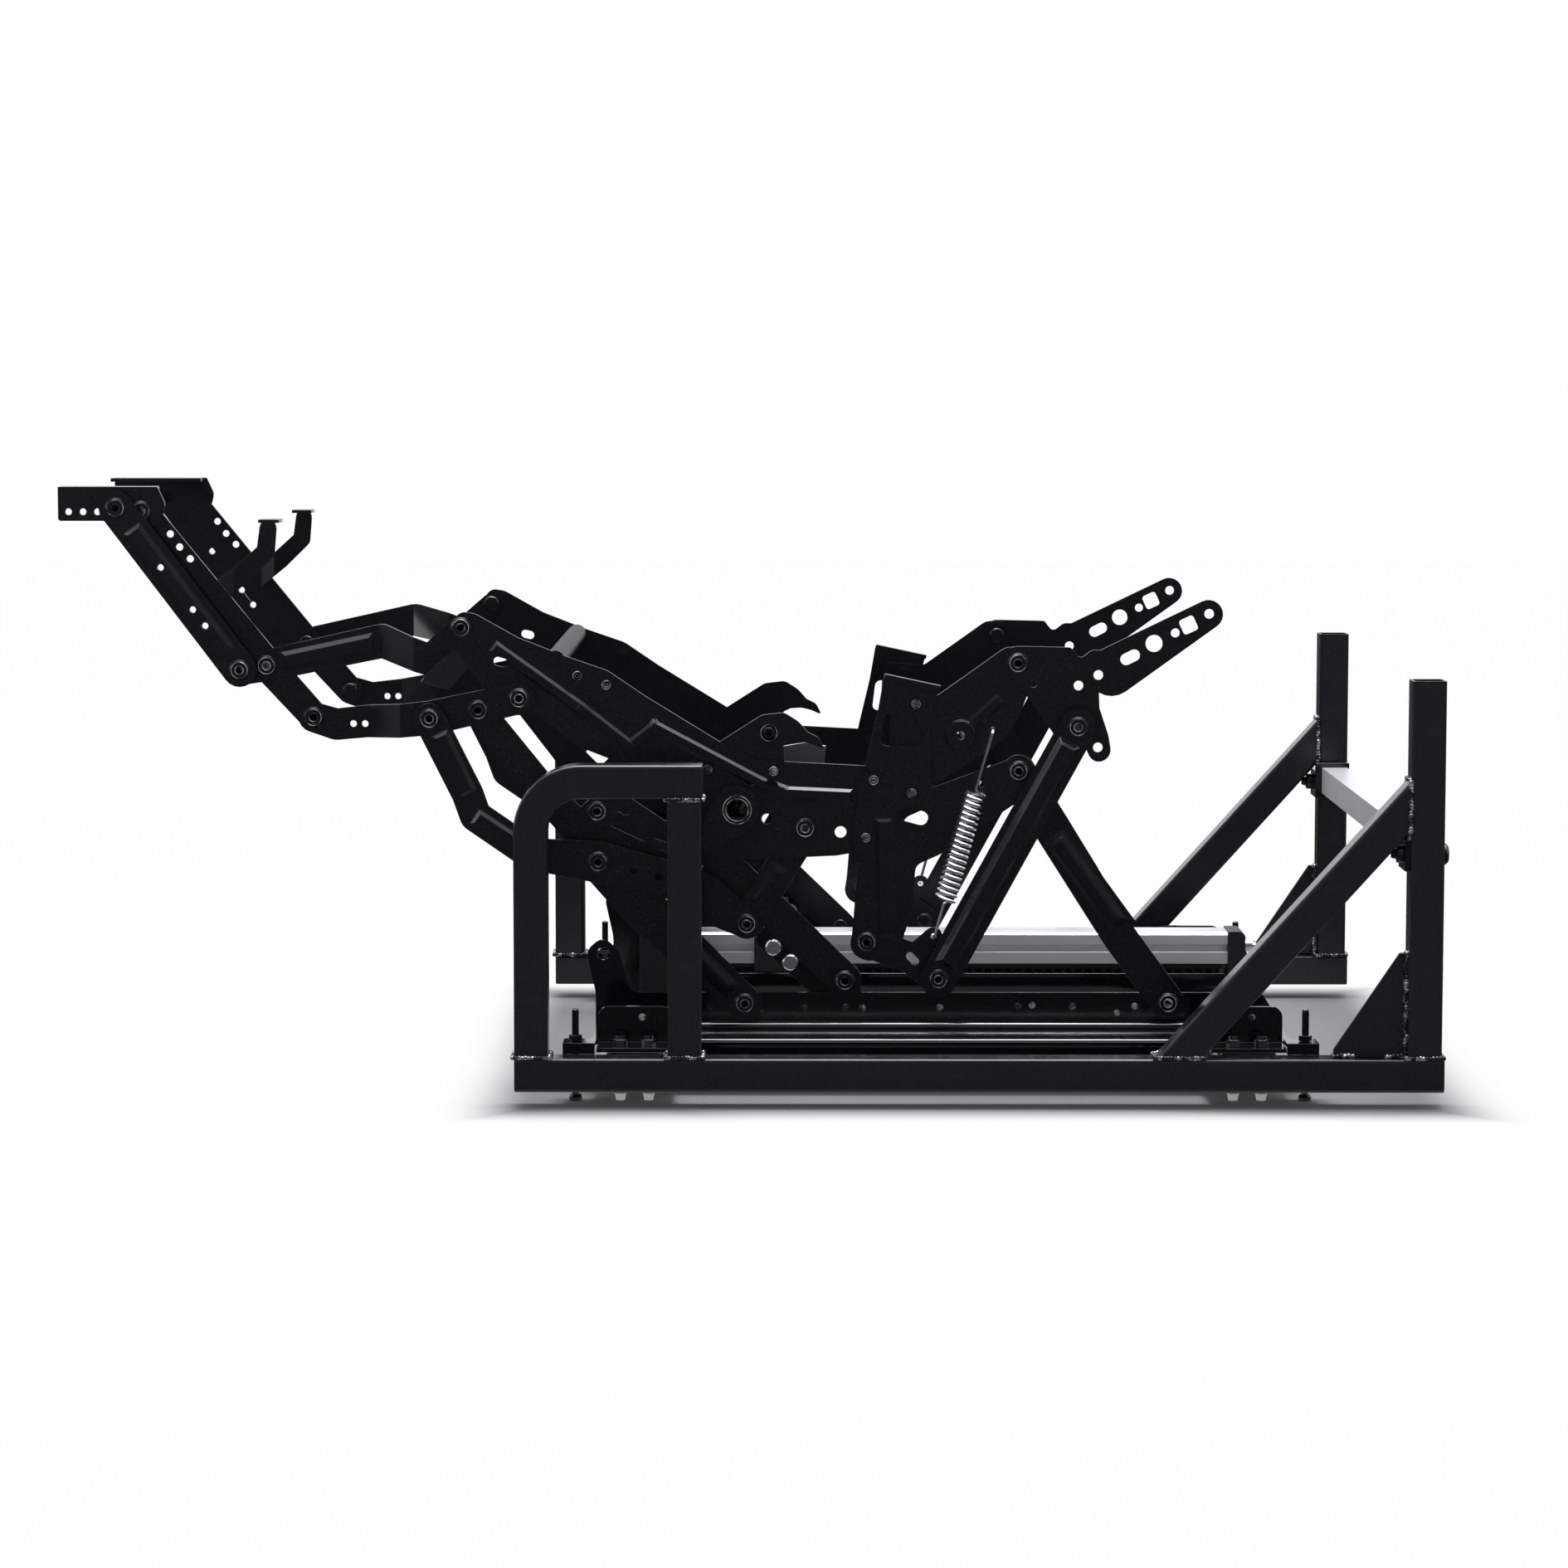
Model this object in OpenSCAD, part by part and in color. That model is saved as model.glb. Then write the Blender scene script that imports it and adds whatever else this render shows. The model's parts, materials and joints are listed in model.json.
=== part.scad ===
// Recliner lift mechanism on its welded frame, shown fully opened.
// X runs from the footrest to the back, Z is up, and the two sides mirror across Y = 0.
// Side views are given as [x, z] in millimetres from the middle of the frame at the floor.

/* [Frame] */
// Length of the side rails
frame_length = 685; // [600:1:760]
// Width over the two side rails
frame_width = 600; // [540:1:700]
// Size of the square frame tube
frame_tube = 25; // [20:1:30]
// Wall of the frame tube
frame_wall = 1.8; // [1.2:0.1:3]
// Height of the side rails above the floor
ground_gap = 12; // [10:1:20]
// Height of the front hoop above the floor
hoop_height = 254; // [220:1:300]
// Outer radius of the bend in the front hoop
hoop_bend = 50; // [40:1:70]
// Reach of the front hoop from its leg to its open end
hoop_reach = 139; // [110:1:170]
// Height of the rear posts above the floor
post_height = 316; // [270:1:360]
// Distance from the end of the side rail to the rear post
post_inset = 2; // [0:0.5:6]
// Run of the rear brace along the side rail
brace_run = 185; // [150:1:220]
// Rise of the rear brace up the post
brace_rise = 206; // [160:1:230]
// Leg of the rear gusset along the rail
gusset_run = 54; // [30:1:80]
// Leg of the rear gusset up the post
gusset_rise = 78; // [40:1:110]
// Thickness of the gusset plate
gusset_plate = 3; // [2:0.5:5]

/* [Lower chassis] */
// Place of the front cross member, middle, along the frame
front_member_x = -255; // [-280:1:-240]
// Place of the rear cross member, middle, along the frame
rear_member_x = 201; // [180:1:230]
// Width of each cross member
member_width = 44; // [36:1:60]
// Height of each cross member
member_height = 25; // [22:1:30]
// Wall of the pressed cross members
member_wall = 3; // [2:0.5:4]
// Half the spacing of the bolts that hold each cross member
bolt_spread = 10.5; // [8:0.5:13]
// Place of the front levelling studs
front_stud_x = -299; // [-310:1:-290]
// Place of the rear levelling studs
rear_stud_x = 244; // [236:1:260]
// Distance of the levelling studs inside the outer faces of the side rails
stud_inset = 38; // [36:1:45]
// Radius of the levelling studs
stud_r = 2.6; // [2:0.1:3.5]
// Height of the tops of the levelling studs
stud_top = 69; // [60:1:80]
// Radius of the levelling pads
pad_r = 5; // [4.5:0.5:8]
// Height of the levelling pads
pad_height = 5; // [3:0.5:8]

/* [Lift rails] */
// Height of the lift rails
rail_height = 30; // [26:1:34]
// Front end of the lift rails
rail_front = -288; // [-292:1:-280]
// Rear end of the lift rails
rail_rear = 237; // [226:1:240]

/* [Plates] */
// Distance of the inner face of the seat plates from the middle
plate_y = 172; // [160:0.5:180]
// Thickness of the pressed link plates
plate = 3; // [2.5:0.1:3.5]
// Play between neighbouring plates
play = 0.3; // [0.2:0.05:0.4]
// How far the footrest stack lies inside the seat plates
footrest_inset = 34; // [28:0.5:40]
// Height of the pressed ribs on the links
rib_height = 3; // [1.5:0.1:4]

/* [Footrest pivots] */
// Footrest bracket on the outer link
bracket_outer = [-653, 437]; // [-670:1:450]
// Footrest bracket on the inner link
bracket_inner = [-634.5, 434.5]; // [-650:0.5:450]
// Outer link on the carrier link
carrier_outer = [-560, 313.5]; // [-570:0.5:330]
// Inner link on the carrier link
carrier_inner = [-540, 316.5]; // [-550:0.5:330]
// Inner link on the lower carrier link
lower_inner = [-504.5, 277]; // [-510:0.5:290]
// Control link on the lower carrier link
lower_control = [-412.5, 279]; // [-420:0.5:290]
// Drive link on the lower carrier link
lower_drive = [-376, 285]; // [-380:0.5:295]
// Lower carrier link on the seat plate
lower_seat = [-345, 294]; // [-350:0.5:300]
// Carrier link on the seat plate
carrier_seat = [-389, 347.5]; // [-395:0.5:355]

/* [Drive pivots] */
// Torque tube in the seat plates
torque_axis = [-180.5, 210]; // [-185:0.5:215]
// End of the torque lever
lever_end = [-203, 187]; // [-208:0.5:192]
// Lever link on the drive link
lever_drive = [-286, 208]; // [-290:0.5:212]
// Rocker on the seat plate
rocker_seat = [-128, 195]; // [-132:0.5:200]
// Rocker on the drive link
rocker_drive = [-172.5, 121.5]; // [-176:0.5:126]
// Control strut on the control link
strut_control = [-285, 170]; // [-289:0.5:174]
// Control strut on the lift rail
strut_rail = [-174, 60]; // [-178:0.5:62]
// Base strut on the lift rail
base_strut = [-97.5, 77]; // [-100:0.5:80]
// Base strut on the seat plate
seat_strut = [-222, 226]; // [-226:0.5:230]
// Bend of the base strut
strut_bend = [-194, 170]; // [-198:0.5:174]

/* [Back pivots] */
// Rear swing link on the lift rail
swing_rail = [149, 61]; // [145:0.5:63]
// Rear swing link on the seat hanger
swing_seat = [34, 239]; // [30:0.5:243]
// Back bracket on the seat
back_seat = [33, 321]; // [30:0.5:324]
// Back tie link on the back bracket
back_tie = [78.5, 273]; // [75:0.5:276]
// Back crank on the seat hanger
crank_seat = [-81, 108]; // [-84:0.5:111]
// Back tie link on the back crank
crank_tie = [-26.5, 80.5]; // [-29:0.5:83]

/* [Links] */
// Half width of the footrest links
slim_half = 12; // [10:0.5:13]
// Half width of the back tie links
tie_half = 14; // [12:0.5:15]
// Half width of the swing links and struts
strut_half = 13; // [11:0.5:14]
// Radius of the pivot rivets
rivet_r = 4; // [3:0.1:5]
// Radius of the pivot rivet heads
rivet_head_r = 8; // [6.5:0.1:9]
// Height of the pivot rivet heads
rivet_head = 2.2; // [1.5:0.1:3]

/* [Springs] */
// Radius of the spring, to the middle of its wire
spring_r = 7.2; // [6:0.1:7.6]
// Radius of the spring wire
wire_r = 1.25; // [0.8:0.05:1.5]
// Turns of the spring
spring_turns = 19; // [12:1:22]
// Upper hook hole in the back pivot plate
spring_top = [14, 271]; // [10:0.5:275]
// Lower hook hole in the back crank
spring_foot = [-30, 112]; // [-34:0.5:115]

/* [Actuator] */
// Front end of the actuator rail
actuator_front = -211; // [-220:1:-205]
// Length of the actuator rail
actuator_length = 421; // [400:1:424]
// Width of the actuator rail
actuator_width = 36; // [30:1:44]
// Height of the underside of the actuator rail
actuator_z = 70; // [66:1:74]
// Height of the actuator rail
actuator_height = 25; // [20:1:28]
// Pitch of the teeth of the drive rack
rack_pitch = 8; // [6:0.5:12]
// Radius of the drive motor
motor_r = 21; // [16:0.5:24]
// Length of the drive motor
motor_length = 92; // [60:1:120]
// Radius of the drive screw
screw_r = 5; // [4:0.5:6]
// Side of the square torque tube
torque_side = 16; // [12:0.5:18]
// Crank on the torque tube, pushed by the actuator
crank_pin = [-215, 150]; // [-218:0.5:153]
// Push link on the actuator carriage
carriage_pin = [-150, 112]; // [-154:0.5:114]

/* [Rear cross bar] */
// Height of the middle of the rear cross bar
bar_z = 191; // [170:1:220]
// Height of the section of the rear cross bar
bar_height = 22; // [16:1:30]
// Depth of the section of the rear cross bar
bar_depth = 13; // [8:0.5:16]
// Height of the bolt heads behind the rear posts
bolt_head = 4; // [3:0.5:6]

/* [Hidden] */
// Names of the parts

// Radial clearance of a rivet or shaft in its hole
fit = 0.05;
// Length of a drill that passes through one side of the mechanism
drill = 2 * frame_width;
// Angle between points along a rounded edge
arc_step = 18;
steel = "#1b1c1e";
gloss = "#0e0f10";
bright = "#c9ccd0";
alloy = "#b9bcc0";

// How far a fused head or shoulder is sunk into its plate
embed = 0.2;
// Radius of the small fixed rivets
small_r = 2.5;
// Radius of the collars of the torque tube in the seat plates
collar_r = 12;
// Radius of the rocker shaft
shaft_r = 10;
// Radius and places of the tubes between the seat sides
tube_r = 8;
front_tube = [-318, 322];
rear_tube = [0, 262];
// Stiffening crest of the seat plates
crest_half = 5;
crest_height = 2.2;
// The runs of the crest differ a little in height, so their tops meet in a step
crest_step = 0.2;

// Outlines of the pressed plates, each corner [x, z, radius]
seat_outline = [[-402, 335, 6], [-398, 347, 8], [-390, 360, 8], [-378, 358, 12], [-346, 340, 20],
  [-310, 326, 20], [-278, 315, 14], [-250, 296, 20], [-180, 253, 16], [-168, 247, 10],
  [-70, 242, 3], [-70, 180, 3], [-104, 174, 10],
  [-168, 171, 16], [-196, 174, 8], [-215, 180, 9], [-214, 202, 8], [-238, 221, 14], [-277, 248, 14],
  [-300, 257, 10], [-332, 281, 10], [-356, 281, 10], [-378, 310, 12]];
seat_crest = [[-361, 331], [-298, 286], [-261, 257], [-242, 272], [-163, 230], [-141, 222], [-97, 220]];
seat_front_rivets = [[-301, 311], [-279, 304]];
bracket_outline = [[-215, 240, 8], [-194, 260, 6], [-161, 281, 8], [-144, 283, 8], [-133, 276, 10],
  [-126, 268, 4], [-118, 264, 5], [-113, 254.5, 1], [-122, 258.5, 6], [-130, 260.5, 8],
  [-139, 260, 6], [-145.5, 257, 2], [-142.5, 240, 2], [-146, 226, 4], [-200, 226, 8]];
bracket_ring = [-155.5, 267.5];
bracket_rivets = [[-202, 240], [-152, 238.5]];
back_plate_outline = [[-62, 299, 6], [-28, 296, 8], [24, 333, 10], [46, 333, 11], [45, 308, 10],
  [34, 280, 14], [24, 264, 12], [8, 252, 12], [-35, 226, 8], [-38, 213, 6], [-66, 213, 8]];
hanger_outline = [[-68, 313, 2], [-26, 304, 2], [-34, 278, 6], [-32, 226, 3], [30, 249, 10],
  [47, 246, 12], [46, 224, 8], [-26, 175, 10], [-44, 167, 8], [-46, 134, 8], [-57, 99, 10],
  [-80, 93, 12], [-95, 100, 12], [-92, 116, 10], [-88, 165, 10], [-93, 190, 10], [-82, 246, 10],
  [-73, 284, 8]];
hanger_rivets = [[-47, 222], [-44, 290], [-82, 188], [-76, 232]];
// The first two hold the back pivot plates, the others the seat side plates
back_plate_rivets = [for (i = [0, 1]) hanger_rivets[i]];
side_plate_rivets = [for (i = [2, 3]) hanger_rivets[i]];
back_bracket_outline = [[20, 318, 12], [26, 334, 10], [73, 333, 3], [80, 324, 4], [89, 331, 6],
  [104, 331, 4], [106, 313, 6], [94.5, 300, 3], [95, 287, 6], [102, 266, 10], [105, 248, 9], [90, 245, 8],
  [84, 258, 6], [64, 262, 10], [36, 302, 12]];
// Round holes of the back bracket, each [x, z, radius]
back_holes = [[177.5, 358.5, 3.7], [152, 344, 3.4], [136, 336, 6.5], [94, 312, 3.7], [79, 304, 3.7],
  [94, 257, 3.7], [45, 305, 2.5]];
strut_bolt_places = [[-152, 102.5], [-139, 91]];

// Holes for the hooks of the spring
hook_hole_r = wire_r + 0.95;
hanger_y = plate_y + plate + play;
screw_z = actuator_z + actuator_height / 2;
// Half width of the slot under the actuator rail, and depth of the rack beside it
rail_slot = 8;
rack_depth = 8;
frame_front = -frame_length / 2;
frame_rear = frame_length / 2;
rail_top = ground_gap + frame_tube;
// Height of the bolts that hold the cross bar, just under the ends of the braces
bar_bolt_z = bar_z - 3;
tube_y = frame_width / 2 - frame_tube;
stud_y = frame_width / 2 - stud_inset;
post_x = frame_rear - post_inset - frame_tube;
hoop_end = frame_front + hoop_reach;
member_top = ground_gap + 1 + member_height;
// The lift rails stand on the cross members, their flanges ending inside the bolts
rail_z = member_top;
flange_edge = tube_y - 39;
// Thickness of the upright clips bolted on the ends of the cross members
clip_wall = 3;
layer_pitch = plate + play;
rail_bolt_y = (plate_y + flange_edge) / 2;

// Reach of the footrest bracket in front of its outer pivot
bracket_reach = 45;
bracket_front = bracket_outer[0] - bracket_reach;
// The origin lies under the middle of the whole length
shift_x = -(bracket_front + post_x + frame_tube + bolt_head) / 2;

function layer(n) = plate_y + n * layer_pitch;
function inner_layer(n) = plate_y - footrest_inset + n * layer_pitch;
function turn(a) = [cos(a), sin(a)];
function wrap(a) = a - 360 * floor((a + 180) / 360);
function heading(a, b) = atan2(b[1] - a[1], b[0] - a[0]);
function flat(p) = [p[0], p[1]];
function back_to_front(list) = [for (i = [len(list) - 1:-1:0]) list[i]];
function arc(c, r, from, sweep) =
  let (n = max(1, ceil(abs(sweep) / arc_step)))
  [for (i = [0:n]) c + r * turn(from + sweep * i / n)];
function meet(p, u, q, v) = p + u * (cross(q - p, v) / cross(u, v));

// Angle at which the edge beside two lobes of a link touches the first
function edge_angle(a, b, side) =
  heading(a, b) + side * acos((a[2] - b[2]) / norm(flat(b) - flat(a)));
function edge_points(chain, side) = [for (i = [0:len(chain) - 1])
  let (p = chain[i], before = i > 0 ? edge_angle(chain[i - 1], p, side) : 0,
    after = i < len(chain) - 1 ? edge_angle(p, chain[i + 1], side) : before,
    start = i > 0 ? before : after, bend = wrap(after - start))
  each side * bend <= 0
    ? (abs(bend) < 0.01 ? [flat(p) + p[2] * turn(start)] : arc(flat(p), p[2], start, bend))
    : [meet(flat(p) + p[2] * turn(start), turn(start - side * 90),
        flat(p) + p[2] * turn(after), turn(after - side * 90))]];
// Outline of a bar that runs through round lobes, each [x, z, radius]
function link_outline(chain) =
  let (n = len(chain) - 1, first = edge_angle(chain[0], chain[1], -1),
    last = edge_angle(chain[n - 1], chain[n], 1), d0 = heading(chain[0], chain[1]),
    d1 = heading(chain[n - 1], chain[n]))
  concat(edge_points(chain, 1), arc(flat(chain[n]), chain[n][2], last, 2 * (d1 - last)),
    back_to_front(edge_points(chain, -1)),
    arc(flat(chain[0]), chain[0][2], first, 2 * (d0 - 180 - first)));
function corner(a, p, b, r) = r <= 0 ? [flat(p)] :
  let (u = (flat(a) - flat(p)) / norm(flat(a) - flat(p)),
    v = (flat(b) - flat(p)) / norm(flat(b) - flat(p)), half = acos(u * v) / 2,
    c = flat(p) + (u + v) / norm(u + v) * r / sin(half),
    s = flat(p) + u * r / tan(half), e = flat(p) + v * r / tan(half))
  arc(c, r, heading(c, s), wrap(heading(c, e) - heading(c, s)));
// Outline of a plate from its corners, each [x, z, corner radius]
function plate_outline(points) = [for (i = [0:len(points) - 1])
  each corner(points[(i + len(points) - 1) % len(points)], points[i],
    points[(i + 1) % len(points)], points[i][2])];
function lobe(p, r) = [p[0], p[1], r];

module placed() {
  translate([shift_x, 0, 0]) children();
}

module both_sides() {
  placed() {
    children();
    mirror([0, 1, 0]) children();
  }
}

module left_side() {
  placed() children();
}

module right_side() {
  placed() mirror([0, 1, 0]) children();
}

// Plate with its inner face at y from the middle and a given thickness
module side_plate(outline, y, thick = plate) {
  translate([0, -y, 0]) rotate([90, 0, 0]) linear_extrude(thick) polygon(outline);
}

module drill_hole(p, r) {
  translate([p[0], 0, p[1]]) rotate([90, 0, 0]) cylinder(h = drill, r = r, center = true, $fn = 32);
}

module rivet_hole(p) {
  drill_hole(p, rivet_r + fit);
}

// Slot between two points of the side view
module drill_slot(a, b, r) {
  translate([0, drill / 2, 0]) rotate([90, 0, 0]) linear_extrude(drill)
    polygon(link_outline([lobe(a, r), lobe(b, r)]));
}

// Pressed rib on an outer face at y, from a to b, with sloping sides and ends, rooted in its plate
module rib(a, b, y, half, height = rib_height) {
  root_depth = 1;
  top = half * 0.55;
  root = half + (half - top) / height * root_depth;
  length = norm(b - a);
  translate([a[0], -y, a[1]]) rotate([0, -heading(a, b), 0]) intersection() {
    translate([-2 * root, 0, 0]) rotate([90, 0, 90]) linear_extrude(length + 4 * root)
      polygon([[root_depth, -root], [-height, -top], [-height, top], [root_depth, root]]);
    linear_extrude(4 * root, center = true)
      polygon([[-root, root_depth], [length + root, root_depth], [length + top, -height], [-top, -height]]);
  }
}

// Ring pressed up around a pivot on an outer face at y
module pivot_boss(p, y, r, height = 1) {
  translate([p[0], -y, p[1]]) rotate([90, 0, 0]) cylinder(h = height, r1 = r, r2 = r - 1.2, $fn = 40);
}

// Profiles along the axis of a rivet: its tail, a shoulder and its head
function tail_profile(y) = [[0, y - rivet_head], [rivet_r + 1.4, y - rivet_head],
  [rivet_r + 2.4, y - 0.9], [rivet_r + 2.4, y], [rivet_r, y]];
function shoulder_profile(s) = len(s) == 0 ? [] :
  [[rivet_r, s[0]], [rivet_r + 3, s[0]], [rivet_r + 3, s[1]], [rivet_r, s[1]]];
function head_profile(y) = [[rivet_r, y], [rivet_head_r, y], [rivet_head_r, y + rivet_head * 0.55],
  [rivet_head_r - 1.6, y + rivet_head], [rivet_r - 0.4, y + rivet_head],
  [rivet_r - 1.2, y + rivet_head * 0.6], [0, y + rivet_head * 0.6]];

module turned(p, profile) {
  translate([p[0], 0, p[1]]) rotate([90, 0, 0]) rotate_extrude($fn = 36) polygon(profile);
}

// Rivet through the plates from the inner face at y0 to the outer face at y1
module rivet(p, y0, y1, shoulder = []) {
  turned(p, concat(tail_profile(y0 - play / 2), shoulder_profile(shoulder), head_profile(y1 + play / 2)));
}

// Pin that is flush inside at y0 and headed outside the face at y1
module pin_out(p, y0, y1, shoulder = []) {
  turned(p, concat([[0, y0], [rivet_r, y0]], shoulder_profile(shoulder), head_profile(y1 + play / 2)));
}

// Pin with its tail inside the face at y0 that is flush outside at y1
module pin_in(p, y0, y1, shoulder = []) {
  turned(p, concat(tail_profile(y0 - play / 2), shoulder_profile(shoulder), [[rivet_r, y1], [0, y1]]));
}

// Head half of an opened pivot, on the plate whose outer face is at y
module stud_head(p, y) {
  turned(p, concat([[0, y - embed], [rivet_head_r, y - embed]],
    [for (i = [2:6]) head_profile(y)[i]]));
}

// Tail half of an opened pivot, on the plate whose inner face is at y
module stud_tail(p, y) {
  turned(p, concat([for (i = [0:2]) tail_profile(y)[i]], [[rivet_r + 2.4, y + embed], [0, y + embed]]));
}

// Small fixed rivet through the plates from y0 to y1
module small_rivet(p, y0, y1) {
  tail = y0 - play / 2;
  head = y1 + play / 2;
  turned(p, [[0, tail - 1.2], [small_r + 1.6, tail - 1.2], [small_r + 1.6, tail], [small_r, tail],
    [small_r, head], [small_r + 1.8, head], [small_r + 0.8, head + 1.4], [small_r - 0.8, head + 1.4],
    [small_r - 1.2, head + 0.7], [0, head + 0.7]]);
}

// Opening cut right through both plates of a stack, from its side outline
module side_cut(outline) {
  translate([0, drill / 2, 0]) rotate([90, 0, 0]) linear_extrude(drill) polygon(outline);
}

// Plate that steps sideways: its side outline cut from a band that follows steps of [x, y]
module stepped_plate(outline, steps) {
  pinch = 1.2;
  last = len(steps) - 1;
  lowest = min([for (s = steps) s[1]]) - 1;
  intersection() {
    side_plate(outline, lowest, layer(2) - lowest);
    linear_extrude(drill) polygon(concat(
      [for (s = steps) [s[0], -s[1]]],
      [for (i = [last:-1:0]) [steps[i][0] - (i > 0 && i < last ? pinch : 0), -steps[i][1] - plate]]));
  }
}

function tube_section(s, r) = plate_outline([[0, 0, r], [s, 0, r], [s, s, r], [0, s, r]]);

// Square frame tube along Z from its corner at the origin
module square_tube(length) {
  difference() {
    linear_extrude(length) polygon(tube_section(frame_tube, 2.5));
    translate([frame_wall, frame_wall, -1]) linear_extrude(length + 2)
      polygon(tube_section(frame_tube - 2 * frame_wall, 1.2));
  }
}

module side_rail() {
  color(steel) translate([frame_front, -tube_y, ground_gap]) rotate([90, 0, 90])
    mirror([1, 0, 0]) square_tube(frame_length);
}

module left_side_rail() {
  left_side() side_rail();
}

module right_side_rail() {
  right_side() side_rail();
}

module front_hoop() {
  bend = hoop_bend;
  color(steel) translate([frame_front, -tube_y, 0]) {
    translate([0, -frame_tube, rail_top]) square_tube(hoop_height - bend - rail_top);
    translate([bend, 0, hoop_height - bend]) rotate([90, 0, 0]) rotate([0, 0, 90])
      rotate_extrude(angle = 90, $fn = 64) difference() {
        translate([bend - frame_tube, 0]) polygon(tube_section(frame_tube, 2.5));
        translate([bend - frame_tube + frame_wall, frame_wall])
          polygon(tube_section(frame_tube - 2 * frame_wall, 1.2));
      }
    translate([bend, 0, hoop_height - frame_tube]) rotate([90, 0, 90])
      mirror([1, 0, 0]) square_tube(hoop_reach - bend);
  }
}

module left_front_hoop() {
  left_side() front_hoop();
}

module right_front_hoop() {
  right_side() front_hoop();
}

module hoop_post() {
  color(steel) translate([hoop_end - frame_tube - 1, -tube_y - frame_tube, rail_top])
    square_tube(hoop_height - frame_tube - rail_top);
}

module left_hoop_post() {
  left_side() hoop_post();
}

module right_hoop_post() {
  right_side() hoop_post();
}

module rear_post() {
  color(steel) difference() {
    translate([post_x, -tube_y - frame_tube, rail_top]) square_tube(post_height - rail_top);
    translate([post_x - 1, -tube_y - frame_tube / 2, bar_bolt_z]) rotate([0, 90, 0])
      cylinder(h = frame_tube + 2, r = rivet_r + fit, $fn = 32);
  }
}

module left_rear_post() {
  left_side() rear_post();
}

module right_rear_post() {
  right_side() rear_post();
}

module rear_brace() {
  slope = atan2(brace_rise, brace_run);
  foot = post_x - brace_run;
  color(steel) intersection() {
    translate([foot, -tube_y - frame_tube, rail_top]) rotate([0, 90 - slope, 0])
      translate([0, 0, -frame_tube]) square_tube(norm([brace_run, brace_rise]) + 2 * frame_tube);
    side_plate([[foot - frame_tube, rail_top], [post_x, rail_top], [post_x, post_height],
      [foot - frame_tube, post_height]], tube_y - 1, frame_tube + 2);
  }
}

module left_rear_brace() {
  left_side() rear_brace();
}

module right_rear_brace() {
  right_side() rear_brace();
}

module rear_gussets() {
  both_sides() color(steel)
    side_plate([[post_x - gusset_run, rail_top], [post_x, rail_top], [post_x, rail_top + gusset_rise],
      [post_x - 6, rail_top + gusset_rise], [post_x - gusset_run, rail_top + 6]],
      tube_y + frame_tube / 2, gusset_plate);
}

// Pressed channel, open below, that crosses between the side rails
module cross_member(x) {
  half = member_width / 2;
  base = ground_gap + 1;
  lip = 9;
  color(gloss) difference() {
    translate([x + shift_x, tube_y, 0]) rotate([90, 0, 0]) linear_extrude(2 * tube_y)
    polygon(plate_outline([[-half - lip, base, 0], [-half + member_wall, base, 0],
      [-half + member_wall, member_top - member_wall, 2], [half - member_wall, member_top - member_wall, 2],
      [half - member_wall, base, 0], [half + lip, base, 0], [half + lip, base + member_wall, 0],
      [half, base + member_wall, 2], [half, member_top, 5], [-half, member_top, 5],
      [-half, base + member_wall, 2], [-half - lip, base + member_wall, 0]]));
    for (s = [-1, 1], side = [-1, 1]) translate([x + shift_x + s * bolt_spread, side * stud_y, base])
      cylinder(h = member_height + 1, r = rivet_r + fit, $fn = 32);
  }
}

module front_cross_member() {
  cross_member(front_member_x);
}

module rear_cross_member() {
  cross_member(rear_member_x);
}

// Small angle welded inside each rail end, through which a levelling stud is screwed
module foot_bracket(x, side) {
  reach = 9;
  back_reach = 15;
  wall = 3;
  height = 33;
  inner = tube_y - 24;
  top = ground_gap + height;
  difference() {
    translate([x, inner, ground_gap + 1]) mirror([side > 0 ? 0 : 1, 0, 0]) union() {
      translate([-back_reach, 0, height - 1 - wall]) cube([back_reach + reach, tube_y - inner, wall]);
      translate([reach - wall, 0, 0]) cube([wall, tube_y - inner, height - 1 - wall]);
    }
    translate([x, stud_y, 0]) cylinder(h = top + 10, r = stud_r + fit, $fn = 32);
  }
}

// Upright clip with rounded corners, bolted on the end of the cross member at x
module end_clip(x) {
  half = member_width / 2 + 6;
  y = flange_edge + 4;
  height = 30;
  translate([0, y + clip_wall, 0]) rotate([90, 0, 0]) linear_extrude(clip_wall)
    polygon(plate_outline([[x - half, member_top, 0], [x + half, member_top, 0],
      [x + half, member_top + height, 8], [x - half, member_top + height, 8]]));
  translate([x - half, y, member_top]) cube([2 * half, tube_y - 1 - y, clip_wall]);
}

module mounting_plates() {
  half = member_width / 2 + 9;
  inner = tube_y - 34;
  both_sides() color(gloss) mirror([0, 1, 0]) {
    foot_bracket(front_stud_x, -1);
    foot_bracket(rear_stud_x, 1);
    for (x = [front_member_x, rear_member_x]) difference() {
      union() {
        translate([x - half, inner, ground_gap - 2]) cube([2 * half, tube_y - inner, 3]);
        end_clip(x);
      }
      for (s = [-1, 1]) translate([x + s * bolt_spread, stud_y, 0])
        cylinder(h = 2 * member_top, r = rivet_r + fit, $fn = 32);
    }
  }
}

module levelling_feet() {
  nut_r = stud_r * 1.9;
  nut_h = 4;
  seat = ground_gap + 33;
  for (x = [front_stud_x, rear_stud_x]) both_sides() color(gloss)
    translate([x, -stud_y, 0]) {
      rotate_extrude($fn = 40) polygon([[0, 0], [pad_r, 0], [pad_r, pad_height * 0.6],
        [pad_r - 1, pad_height], [stud_r, pad_height], [stud_r, stud_top - 1], [stud_r - 1, stud_top],
        [0, stud_top]]);
      for (z = [seat, seat - 3 - nut_h]) translate([0, 0, z + (z == seat ? play : -play)])
        cylinder(h = nut_h, r = nut_r, $fn = 6);
    }
}

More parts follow.
